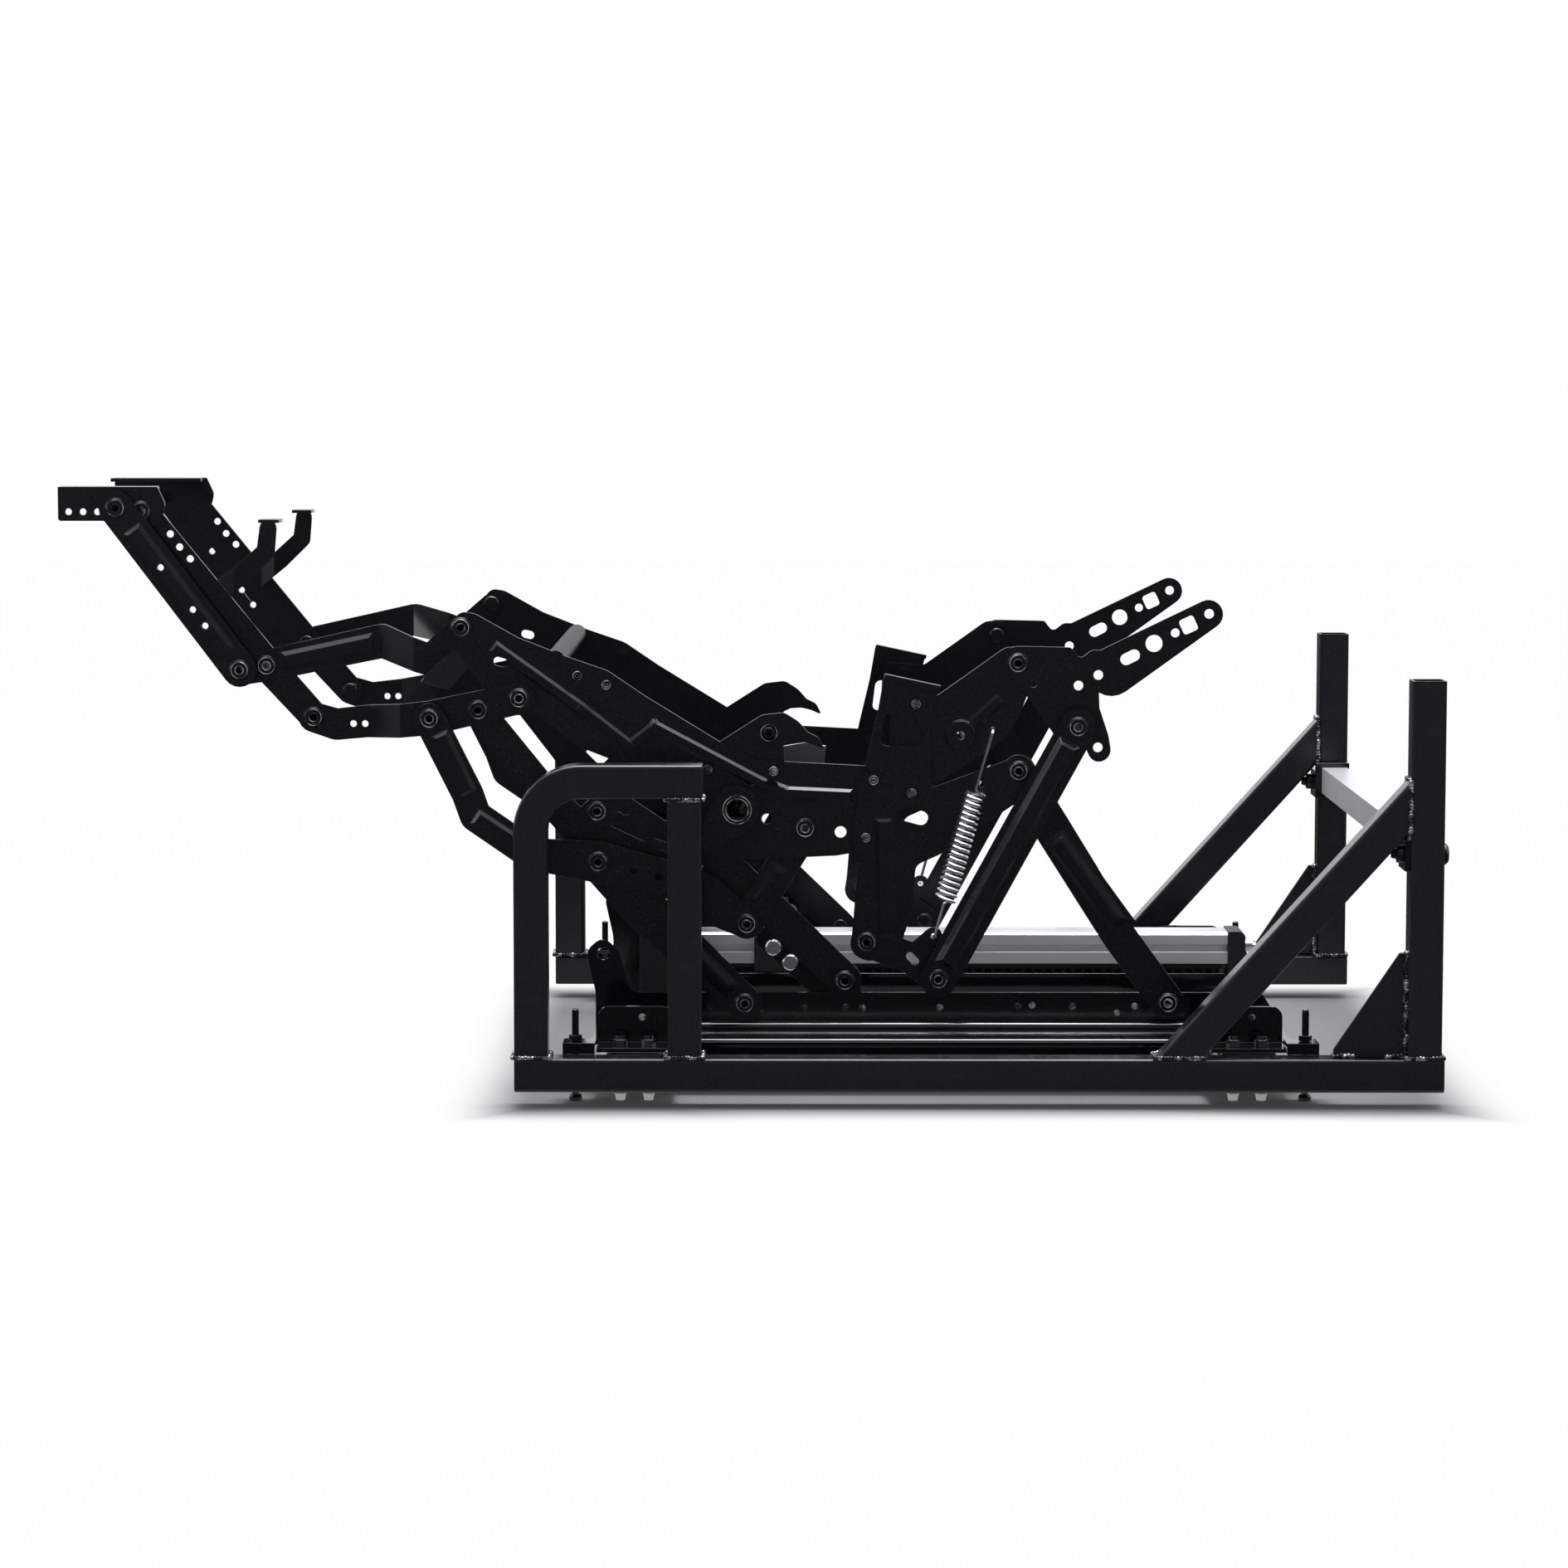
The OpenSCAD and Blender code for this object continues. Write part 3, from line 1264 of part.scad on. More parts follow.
// Back brackets with a row of fixing holes in the arm
module back_brackets() {
  y = layer(1);
  arm_root = [104, 314.5, 18.5];
  tip = [177, 358];
  both_sides() color(steel) {
    difference() {
      union() {
        side_plate(plate_outline(back_bracket_outline), y);
        side_plate(link_outline([arm_root, lobe(tip, 11)]), y);
      }
      rivet_hole(back_seat);
      for (h = back_holes) drill_hole(flat(h), h[2]);
      drill_slot([115, 324], [121, 327], 4.5);
      side_cut([for (p = plate_outline([[-6, -6, 2.5], [6, -6, 2.5], [6, 6, 2.5], [-6, 6, 2.5]]))
        [162, 350] + p[0] * turn(25) + p[1] * turn(115)]);
    }
    pin_out(back_tie, y, layer(3) + plate, [y + plate - embed, layer(3) - play / 2]);
  }
}

// Long channelled links that tilt the back with the crank
module back_tie_links() {
  y = layer(3);
  run = unit(crank_tie - back_tie);
  both_sides() color(steel) {
    difference() {
      union() {
        side_plate(link_outline([lobe(back_tie, tie_half), lobe(crank_tie, tie_half)]), y);
        rib(back_tie + 22 * run, crank_tie - 20 * run, y + plate, tie_half - 5, 5);
      }
      rivet_hole(back_tie);
    }
    stud_head(crank_tie, y + plate);
  }
}

// Cranks at the feet of the hangers, held back by the springs
module back_cranks() {
  y = layer(0);
  bolt = [-46, 95];
  both_sides() color(steel) {
    difference() {
      union() {
        side_plate(link_outline([lobe(crank_seat, slim_half), lobe(bolt, slim_half),
          lobe(crank_tie, slim_half + 1)]), y);
        side_plate(link_outline([lobe(bolt, slim_half - 2), lobe(spring_foot, 7)]), y);
      }
      rivet_hole(crank_seat);
      drill_slot(bolt + [-2, 2], bolt + [2, -2], 3);
      drill_hole(spring_foot, hook_hole_r);
    }
    turned(crank_tie, concat([for (i = [0:2]) tail_profile(y)[i]], [[rivet_r + 2.4, y + embed],
      [rivet_r + 3, y + plate - embed], [rivet_r + 3, layer(3) - play / 2], [0, layer(3) - play / 2]]));
  }
}

// Struts from the lift rails to the control links
module control_struts() {
  y = layer(-1);
  run = unit(strut_control - strut_rail);
  both_sides() color(steel) difference() {
    union() {
      side_plate(link_outline([lobe(strut_control, 16), [-250, 132, 17], lobe(strut_rail, strut_half)]), y);
      rib(strut_rail + 20 * run, strut_rail + 72 * run, y + plate, 6, 2.2);
    }
    rivet_hole(strut_rail);
  }
}

// Struts from the lift rails up to the seat plates
module base_struts() {
  both_sides() color(steel) difference() {
    side_plate(link_outline([lobe(base_strut, strut_half), lobe(strut_bend, strut_half),
      lobe(seat_strut, strut_half)]), layer(-3));
    rivet_hole(base_strut);
    drill_hole(seat_strut, rivet_r + 1.6);
    for (p = strut_bolt_places) drill_hole(p, small_r + fit);
  }
}

module strut_plates() {
  both_sides() color(gloss) difference() {
    side_plate(plate_outline([[-168, 108, 5], [-156, 120, 5], [-100, 62, 4], [-112, 56, 4]]), layer(-4) + play);
    for (p = strut_bolt_places) drill_hole(p, small_r + fit);
  }
}

// Bright bolts through the struts and their plates
module strut_bolts() {
  inner = layer(-4) + play - play / 2;
  outer = layer(-3) + plate + play / 2;
  both_sides() color(bright) for (p = strut_bolt_places)
    turned(p, [[0, inner - 3], [small_r + 3, inner - 3], [small_r + 3, inner], [small_r, inner],
      [small_r, outer], [small_r + 4, outer], [small_r + 4, outer + 1], [small_r + 2.6, outer + 3],
      [0, outer + 3]]);
}

left_side_rail();
right_side_rail();
left_front_hoop();
right_front_hoop();
left_hoop_post();
right_hoop_post();
left_rear_post();
right_rear_post();
left_rear_brace();
right_rear_brace();
rear_gussets();
front_cross_member();
rear_cross_member();
mounting_plates();
levelling_feet();
chassis_bolts();
left_lift_rail();
right_lift_rail();
rail_rivets();
rear_cross_bar();
cross_bar_brackets();
cross_bar_bolts();
actuator_rail();
drive_rack();
actuator_end_cap();
actuator_saddle();
gearbox();
drive_motor();
drive_screw();
drive_carriage();
push_link();
rear_swing_links();
seat_side_plates();
back_pivot_plates();
rear_hangers();
inner_brackets();
seat_cross_tubes();
seat_rivets();
return_springs();
carrier_links();
inner_links();
footrest_hooks();
footrest_brackets();
outer_links();
lower_carrier_links();
control_links();
drive_links();
rockers();
rocker_shaft();
shaft_sector();
torque_tube();
torque_levers();
lever_links();
back_brackets();
back_tie_links();
back_cranks();
control_struts();
base_struts();
strut_plates();
strut_bolts();
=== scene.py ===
import json
import math

import bmesh
import bpy
from mathutils import Matrix, Vector


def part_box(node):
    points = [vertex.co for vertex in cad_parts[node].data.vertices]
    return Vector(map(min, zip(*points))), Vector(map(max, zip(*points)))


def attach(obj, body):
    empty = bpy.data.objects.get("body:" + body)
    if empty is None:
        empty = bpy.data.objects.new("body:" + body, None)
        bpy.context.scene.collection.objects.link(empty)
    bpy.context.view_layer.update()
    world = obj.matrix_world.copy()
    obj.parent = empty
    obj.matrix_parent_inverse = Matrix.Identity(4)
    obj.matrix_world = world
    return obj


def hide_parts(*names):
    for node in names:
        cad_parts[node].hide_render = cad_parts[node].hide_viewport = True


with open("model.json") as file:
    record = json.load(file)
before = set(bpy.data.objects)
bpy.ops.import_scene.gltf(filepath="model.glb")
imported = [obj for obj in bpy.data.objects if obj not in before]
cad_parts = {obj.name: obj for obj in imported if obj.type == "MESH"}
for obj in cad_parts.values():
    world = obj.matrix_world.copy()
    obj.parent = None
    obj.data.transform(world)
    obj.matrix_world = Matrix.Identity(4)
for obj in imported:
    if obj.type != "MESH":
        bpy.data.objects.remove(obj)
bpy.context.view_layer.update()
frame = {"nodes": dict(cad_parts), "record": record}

# The camera: a long lens three and a half metres in front of the mechanism and a little above the
# seat, looking slightly down. Its values were fitted to the pivots that the photograph shows.
photo_width = 1890
focal_pixels = 5336.2
sensor_width = 36.0
camera_place = (0.03905, -3.5242, 0.5438)
look_down = 0.0938
look_aside = 0.0019
roll = 0.0005
lens = bpy.data.cameras.new("camera")
lens.sensor_width = sensor_width
lens.sensor_fit = "HORIZONTAL"
lens.lens = sensor_width * focal_pixels / photo_width
lens.clip_end = 60.0
camera = bpy.data.objects.new("camera", lens)
bpy.context.scene.collection.objects.link(camera)
camera_turn = Matrix.Rotation(look_aside, 4, "Z")
camera_tilt = Matrix.Rotation(math.radians(90.0) - look_down, 4, "X")
camera_roll = Matrix.Rotation(roll, 4, "Z")
camera.matrix_world = Matrix.Translation(camera_place) @ camera_turn @ camera_tilt @ camera_roll
bpy.context.scene.camera = camera
bpy.context.scene.view_settings.view_transform = "Standard"


# The white table takes the shadow of the frame around its feet, deepened by painted shade on the card,
# and turns plain white away from it. What the coats mirror of it is a painted glow, a dim grey,
# brightest close to the frame.
class Wire:
    """One output of a shader node, which adds its own Math nodes in an expression."""

    def __init__(self, owner, socket):
        self.owner = owner
        self.socket = socket

    def maths(self, operation, first, second=0.5):
        return self.owner.node("ShaderNodeMath", {"operation": operation}, {0: first, 1: second})

    def __add__(self, other):
        return self.maths("ADD", self, other)

    def __radd__(self, other):
        return self.maths("ADD", other, self)

    def __sub__(self, other):
        return self.maths("SUBTRACT", self, other)

    def __rsub__(self, other):
        return self.maths("SUBTRACT", other, self)

    def __mul__(self, other):
        return self.maths("MULTIPLY", self, other)

    def __rmul__(self, other):
        return self.maths("MULTIPLY", other, self)

    def __abs__(self):
        return self.maths("ABSOLUTE", self)

    def or_larger(self, other):
        return self.maths("MAXIMUM", self, other)

    def fade(self, low, high, least=0.0, most=1.0):
        """Gives least below low, most above high, and a smooth rise between them."""
        ends = {"From Min": low, "From Max": high, "To Min": least, "To Max": most}
        smooth = {"interpolation_type": "SMOOTHSTEP"}
        return self.owner.node("ShaderNodeMapRange", smooth, {"Value": self, **ends})


class ShaderTree:
    """The nodes of a material or of the room, which are all added by node()."""

    def __init__(self, tree, output):
        self.tree = tree
        tree.nodes.clear()
        self.output = tree.nodes.new(output)

    def node(self, kind, settings, inputs, output=0):
        made = self.tree.nodes.new(kind)
        for key, value in settings.items():
            setattr(made, key, value)
        for key, value in inputs.items():
            if isinstance(value, Wire):
                self.tree.links.new(value.socket, made.inputs[key])
            else:
                made.inputs[key].default_value = value
        return Wire(self, made.outputs[output])

    def ray(self, kind):
        return self.node("ShaderNodeLightPath", {}, {}, kind)

    def axis(self, place, letter):
        return self.node("ShaderNodeSeparateXYZ", {}, {0: place}, letter)

    def choice(self, share, shown, otherwise):
        return self.node("ShaderNodeMixShader", {}, {0: share, 1: otherwise, 2: shown})

    def end(self, shader):
        self.tree.links.new(shader.socket, self.output.inputs["Surface"])


class Finish(ShaderTree):
    """A material of one surface finish, which reads the Object coordinates of its piece."""

    def __init__(self, name):
        self.material = bpy.data.materials.new(name)
        self.material.use_nodes = True
        super().__init__(self.material.node_tree, "ShaderNodeOutputMaterial")
        self.place = self.node("ShaderNodeTexCoord", {}, {}, "Object")

    def noise(self, scale, detail=2.0, roughness=0.5, place=None):
        return self.node("ShaderNodeTexNoise", {}, {"Vector": place or self.place, "Scale": scale,
                                                    "Detail": detail, "Roughness": roughness})

    def stretched(self, x, y, z):
        """Object coordinates scaled along each axis, for grain that runs one way."""
        return self.node("ShaderNodeMapping", {}, {"Vector": self.place, "Scale": (x, y, z)})

    def mix(self, share, first, second):
        return self.node("ShaderNodeMix", {"data_type": "RGBA"}, {0: share, 6: first, 7: second}, 2)

    def bump(self, height, distance):
        return self.node("ShaderNodeBump", {}, {"Height": height, "Distance": distance})

    def surface(self, **sockets):
        """Ends the finish in one principled shader with these sockets."""
        self.end(self.node("ShaderNodeBsdfPrincipled", {},
                           {key.replace("_", " "): value for key, value in sockets.items()}))
        return self.material


def rgb(red, green, blue):
    return (red, green, blue, 1.0)


def white_sweep():
    """White card with a painted shadow under the base frame and a painted glow for what the coats mirror."""
    shadow_edge = 0.08
    glow_near = 0.03
    glow_far = 0.98
    mirrored_glow_near = 0.4
    mirrored_glow_far = 0.06
    middle = 0.177
    half_length = 0.33
    half_width = 0.30
    sweep = Finish("white_sweep")
    along = sweep.axis(sweep.place, "X")
    across = sweep.axis(sweep.place, "Y")
    beside = abs(along - middle) - half_length
    before = abs(across) - half_width
    away = beside.or_larger(before).fade(0.0, shadow_edge)
    # Painted shadow: the card's colour is darker in the patch under the base frame.
    painted_shade = sweep.mix(away, rgb(0.30, 0.305, 0.31), rgb(0.95, 0.95, 0.955))
    card = sweep.node("ShaderNodeBsdfDiffuse", {}, {"Color": painted_shade})
    seen = sweep.ray("Is Camera Ray")
    mirrored = sweep.ray("Is Glossy Ray")
    # Painted reflection: for glossy rays the card glows, brighter near the frame.
    strength = 1.0 - mirrored * (away * (mirrored_glow_near - mirrored_glow_far) + (1.0 - mirrored_glow_near))
    glow = sweep.node("ShaderNodeEmission", {}, {"Color": rgb(1.0, 1.0, 1.0), "Strength": strength})
    share = seen * (away * (glow_far - glow_near) + glow_near) + mirrored
    sweep.end(sweep.choice(share, glow, card))
    return sweep.material


table_reach = 9.0
table_corners = [(x * table_reach, y * table_reach, 0.0) for x, y in ((-1, -1), (1, -1), (1, 1), (-1, 1))]
table_mesh = bpy.data.meshes.new("floor")
table_mesh.from_pydata(table_corners, [], [(0, 1, 2, 3)])
table_mesh.materials.append(white_sweep())
table = bpy.data.objects.new("floor", table_mesh)
bpy.context.scene.collection.objects.link(table)

# The room: white behind and around the table for the lens, bright behind, dim in front and bright
# overhead for what the coats mirror, and an even soft fill for everything else.
world = bpy.data.worlds.new("studio")
world.use_nodes = True
bpy.context.scene.world = world
room = ShaderTree(world.node_tree, "ShaderNodeOutputWorld")
toward = room.node("ShaderNodeTexCoord", {}, {}, "Generated")
back_wall = room.axis(toward, "Y").fade(-0.25, 0.35, least=0.20, most=1.0)
ceiling = room.axis(toward, "Z").fade(0.70, 0.93, least=0.0, most=3.5)
soft_fill = 0.32


def wall(strength, colour=rgb(0.97, 0.98, 1.0)):
    return room.node("ShaderNodeBackground", {}, {"Color": colour, "Strength": strength})


unseen_room = room.choice(room.ray("Is Glossy Ray"), wall(back_wall + ceiling), wall(soft_fill))
room.end(room.choice(room.ray("Is Camera Ray"), wall(1.0, rgb(1.0, 1.0, 1.0)), unseen_room))


# The lamps: a wide soft box over the mechanism and a weak upright strip on each side, all white and
# at a plain level, so that the black coats render about as they are written.
def soft_lamp(name, place, aim, width, height, power):
    data = bpy.data.lights.new(name, "AREA")
    data.shape = "RECTANGLE"
    data.size = width
    data.size_y = height
    data.energy = power
    lamp = bpy.data.objects.new(name, data)
    lamp.location = place
    lamp.rotation_euler = (Vector(aim) - Vector(place)).to_track_quat("-Z", "Y").to_euler()
    bpy.context.scene.collection.objects.link(lamp)


soft_lamp("overhead", (0.1, 0.1, 2.6), aim=(0.05, 0.0, 0.2), width=1.7, height=0.9, power=58.0)
soft_lamp("left_strip", (-2.6, -0.6, 1.3), aim=(0.0, 0.0, 0.2), width=0.6, height=1.8, power=12.0)
soft_lamp("right_strip", (2.7, -0.3, 1.5), aim=(0.1, 0.0, 0.2), width=0.6, height=1.8, power=12.0)


# The base frame: square steel tube, sawn, bent and welded, in a satin black powder coat. Two side
# rails carry the bent front hoops with their posts, and the rear posts with braces and gussets.
def black_coat(name, colour, gloss, peel_scale, peel_height, dust, shine=0.5, **fixed):
    """Black powder coat with a fine orange peel, cloudy gloss and a little dust."""
    coat = Finish(name)
    cloud = coat.noise(9.0, detail=4.0, roughness=0.6)
    upright = coat.stretched(1.0, 1.0, 2.2)
    rubbed = coat.noise(38.0, detail=3.0, roughness=0.65, place=upright).fade(0.5, 0.74)
    specks = coat.noise(1500.0, detail=1.0).fade(0.69, 0.74) * dust
    peel = coat.noise(peel_scale)
    lighter = tuple(part * 1.8 + 0.002 for part in colour)
    tint = coat.mix(cloud * 0.3 + rubbed * 0.2, rgb(*colour), rgb(*lighter))
    tint = coat.mix(specks, tint, rgb(0.34, 0.35, 0.36))
    rough = gloss + (cloud - 0.5) * 0.07 + rubbed * 0.04 + specks * 0.2
    return coat.surface(Base_Color=tint, Roughness=rough, Specular_IOR_Level=shine,
                        Normal=coat.bump(peel, peel_height), **fixed)


frame_coat = black_coat("frame_coat", (0.0100, 0.0122, 0.0150), gloss=0.20, peel_scale=520.0,
                        peel_height=0.00003, dust=0.10)
rim_coat = black_coat("rim_coat", (0.0090, 0.0095, 0.0110), gloss=0.11, peel_scale=700.0,
                      peel_height=0.00002, dust=0.10, Coat_Weight=1.0, Coat_Roughness=0.06, IOR=2.2)
bodies = frame["record"]["behaviour"]["bodies"]
merge_distance = 0.000004
flat_angle = math.radians(0.6)


def merged_shape(node):
    """The mesh of a CAD node with its doubled corners merged and its flat faces whole."""
    shape = bmesh.new()
    shape.from_mesh(frame["nodes"][node].data)
    bmesh.ops.remove_doubles(shape, verts=shape.verts, dist=merge_distance)
    bmesh.ops.dissolve_limit(shape, angle_limit=flat_angle, verts=shape.verts, edges=shape.edges)
    return shape


def folds(shape, degrees):
    """The edges at which a shape turns by more than these degrees."""
    closed = [edge for edge in shape.edges if len(edge.link_faces) == 2]
    return [edge for edge in closed if edge.calc_face_angle(0.0) > math.radians(degrees)]


def on_rib(edge):
    """True between two faces that both look sideways, as on a rib pressed into a plate."""
    return all(abs(face.normal.y) > 0.35 for face in edge.link_faces)


def spilled(shape, mark, reach):
    """True where a face of a rounded edge is much wider than the reach of the rounding."""
    for face in shape.faces:
        longest = max(edge.calc_length() for edge in face.edges)
        if face.material_index == mark and face.calc_area() > 1.5 * reach * longest:
            return True
    return False


def rounded(shape, edges, reach, mark, segments):
    """The shape with edges rounded, with a smaller reach where the first one spills over a face."""
    shape.edges.index_update()
    picked = [edge.index for edge in edges]
    for share in (1.0, 0.5, 0.25, 0.12):
        tried = shape.copy()
        tried.edges.ensure_lookup_table()
        bmesh.ops.bevel(tried, geom=[tried.edges[index] for index in picked], offset=reach * share,
                        segments=segments, profile=0.5, affect="EDGES", clamp_overlap=True, material=mark)
        if not spilled(tried, mark, reach * share):
            shape.free()
            return tried
        tried.free()
    return shape


def folded_copy(node, rim, press, segments):
    """A copy of a CAD node with its cut rims rounded by rim, and its pressed ribs by press."""
    plain_mark, rim_mark, rib_mark = 0, 1, 2
    rib_fold, rim_fold = 12, 38
    source = frame["nodes"][node]
    piece = source.copy()
    piece.data = source.data.copy()
    piece.name = node + "_rounded"
    bpy.context.scene.collection.objects.link(piece)
    shape = merged_shape(node)
    bmesh.ops.dissolve_degenerate(shape, dist=merge_distance, edges=shape.edges)
    if press:
        ribs = [edge for edge in folds(shape, rib_fold) if on_rib(edge)]
        shape = rounded(shape, ribs, press, rib_mark, segments)
    rims = [edge for edge in folds(shape, rim_fold) if not (press and on_rib(edge))]
    shape = rounded(shape, rims, rim, rim_mark, segments)
    for face in shape.faces:
        if face.material_index == rib_mark:
            face.material_index = plain_mark
    shape.to_mesh(piece.data)
    shape.free()
    piece.data.update()
    level_plates(piece)
    return piece


def level_plates(piece):
    """Keeps the large side faces of plates flat in the light, and lets the rims round off into them."""
    large_face = 0.00003
    piece.data.set_sharp_from_angle(angle=math.radians(32))
    for face in piece.data.polygons:
        face.use_smooth = abs(face.normal.y) < 0.999 or face.area < large_face
    level = piece.modifiers.new("level_faces", "WEIGHTED_NORMAL")
    level.mode = "FACE_AREA"
    level.weight = 100
    level.keep_sharp = True
    even = bpy.data.meshes.new_from_object(piece.evaluated_get(bpy.context.evaluated_depsgraph_get()))
    piece.modifiers.clear()
    piece.data = even


def dress(nodes, coat, rim=0.0004, press=0.0, segments=2):
    """Puts rounded, coated copies in the place of CAD nodes, each on its own body."""
    for node in nodes:
        piece = folded_copy(node, rim, press, segments)
        piece.data.materials.clear()
        piece.data.materials.append(coat)
        piece.data.materials.append(rim_coat)
        body = next(name for name, members in bodies.items() if node in members)
        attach(piece, body)
        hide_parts(node)


tubes = [side + part for part in ("side_rail", "hoop_post", "rear_post", "rear_brace", "front_hoop")
         for side in ("left_", "right_")]
dress(tubes, frame_coat, rim=0.0024, segments=4)
dress(["rear_gussets"], frame_coat, rim=0.0007)


# Welds of the base frame: a lumpy bead of molten steel, coated with the tubes, round the foot of
# each post, hoop and brace, round the joints above them, and in short runs along the gussets.
# Light metal patches are painted on the bead as glints.
def stepper(tree):
    """Gives the function that adds a node to a Geometry Nodes tree and sets or links its sockets.

    A node given for a socket stands for its first output, and a list links each of its nodes.
    """
    def step(kind, sockets, **settings):
        made = tree.nodes.new(kind)
        for key, value in settings.items():
            setattr(made, key, value)
        for socket, value in sockets.items():
            for source in value if isinstance(value, list) else [value]:
                if isinstance(source, bpy.types.Node):
                    tree.links.new(source.outputs[0], made.inputs[socket])
                elif isinstance(source, bpy.types.NodeSocket):
                    tree.links.new(source, made.inputs[socket])
                else:
                    made.inputs[socket].default_value = source
        return made
    return step


def bead_tree(material):
    """Geometry Nodes: overlapping flattened drops along the edges of a mesh."""
    tree = bpy.data.node_groups.new("weld_bead", "GeometryNodeTree")
    tree.interface.new_socket("Path", in_out="INPUT", socket_type="NodeSocketGeometry")
    tree.interface.new_socket("Drop Radius", in_out="INPUT", socket_type="NodeSocketFloat")
    tree.interface.new_socket("Pitch", in_out="INPUT", socket_type="NodeSocketFloat")
    tree.interface.new_socket("Seed", in_out="INPUT", socket_type="NodeSocketInt")
    tree.interface.new_socket("Bead", in_out="OUTPUT", socket_type="NodeSocketGeometry")
    step = stepper(tree)
    given = step("NodeGroupInput", {}).outputs
    line = step("GeometryNodeMeshToCurve", {"Mesh": given["Path"]})
    spaced = step("GeometryNodeResampleCurve", {"Curve": line, "Length": given["Pitch"]}, mode="LENGTH")
    drop = step("GeometryNodeMeshUVSphere", {"Radius": given["Drop Radius"], "Segments": 8, "Rings": 5})
    smallest, largest, any_way = (0.8, 0.8, 0.7), (1.35, 1.35, 1.2), (3.1, 3.1, 3.1)
    size = step("FunctionNodeRandomValue", {0: smallest, 1: largest, "Seed": given["Seed"]},
                data_type="FLOAT_VECTOR")
    turn = step("FunctionNodeRandomValue", {1: any_way, "Seed": given["Seed"]}, data_type="FLOAT_VECTOR")
    drops = step("GeometryNodeInstanceOnPoints", {"Points": spaced, "Instance": drop, "Scale": size,
                                                  "Rotation": turn})
    solid = step("GeometryNodeRealizeInstances", {"Geometry": drops})
    smooth = step("GeometryNodeSetShadeSmooth", {"Geometry": solid})
    coated = step("GeometryNodeSetMaterial", {"Geometry": smooth, "Material": material})
    step("NodeGroupOutput", {"Bead": coated})
    return tree


def grown(name, mesh, tree, body, sizes):
    """Runs a Geometry Nodes tree on a mesh and keeps the result as a plain mesh, on a body."""
    start = bpy.data.objects.new(name + "_start", mesh)
    bpy.context.scene.collection.objects.link(start)
    modifier = start.modifiers.new("grow", "NODES")
    modifier.node_group = tree
    for item in tree.interface.items_tree:
        if item.item_type == "SOCKET" and item.in_out == "INPUT" and item.name in sizes:
            modifier[item.identifier] = sizes[item.name]
    whole = bpy.data.meshes.new_from_object(start.evaluated_get(bpy.context.evaluated_depsgraph_get()))
    bpy.data.objects.remove(start)
    piece = bpy.data.objects.new(name, whole)
    bpy.context.scene.collection.objects.link(piece)
    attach(piece, body)


def corners(node):
    """The lowest and the highest corner of a CAD node, in millimetres."""
    return [[part * 1000 for part in corner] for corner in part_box(node)]


def weld_path(name, lines):
    """A mesh of open lines given in millimetres on the near side, with their mirror on the far side."""
    points, edges = [], []
    for side in (1, -1):
        for line in lines:
            first = len(points)
            points += [(x / 1000, side * y / 1000, z / 1000) for x, y, z in line]
            edges += [(i, i + 1) for i in range(first, len(points) - 1)]
    mesh = bpy.data.meshes.new(name)
    mesh.from_pydata(points, edges, [])
    return mesh


corner_reach = 1.0
rail_rise, side_rise = 0.9, 0.2
rail_low, rail_high = corners("left_side_rail")
seam_height = rail_high[2] + rail_rise
outer_seam = rail_low[1] - side_rise
inner_seam = rail_high[1] + side_rise


def foot_loop(front, rear, height=seam_height):
    """The line round the foot of a tube that stands on the top of another."""
    front, rear = front - corner_reach, rear + corner_reach
    ring = [(front, outer_seam, height), (rear, outer_seam, height),
            (rear, inner_seam, height), (front, inner_seam, height)]
    return ring + ring[:1]


def end_loop(face, low, high):
    """The line round the end of a tube that butts on an upright face."""
    ring = [(face, outer_seam, low), (face, outer_seam, high),
            (face, inner_seam, high), (face, inner_seam, low)]
    return ring + ring[:1]


hoop_foot, hoop_post_foot = (-165.8, -140.8), (-52.8, -27.7)
rear_post_foot, brace_foot = (492.2, 517.3), (307.2, 340.8)
head_height = corners("left_hoop_post")[1][2] - 0.4
brace_face = corners("left_rear_post")[0][0] - 0.45
brace_top = corners("left_rear_brace")[1][2]
brace_end = 37.4
frame_seams = [foot_loop(*hoop_foot), foot_loop(*hoop_post_foot), foot_loop(*rear_post_foot),
               foot_loop(*brace_foot), foot_loop(*hoop_post_foot, head_height),
               end_loop(brace_face, brace_top - brace_end, brace_top)]

gusset_low, gusset_high = corners("rear_gussets")
gusset_thickness = 3.0
face_rise, back_rise = 0.5, 0.65
gusset_back = gusset_high[0] - back_rise
outer_face = gusset_low[1] - face_rise
inner_face = gusset_low[1] + gusset_thickness + face_rise
toe_start, toe_length = gusset_low[0] + 0.25, 13.5
heel_start, heel_length = gusset_high[0] - 14.25, 13.0


def upright_run(y):
    return [(gusset_back, y, gusset_low[2] + corner_reach), (gusset_back, y, gusset_high[2] - corner_reach)]


def level_run(y, start, length):
    return [(start, y, seam_height), (start + length, y, seam_height)]


gusset_seams = [upright_run(outer_face), upright_run(inner_face),
                level_run(outer_face, toe_start, toe_length), level_run(outer_face, heel_start, heel_length),
                level_run(inner_face, toe_start, toe_length)]

weld_coat = Finish("weld_coat")
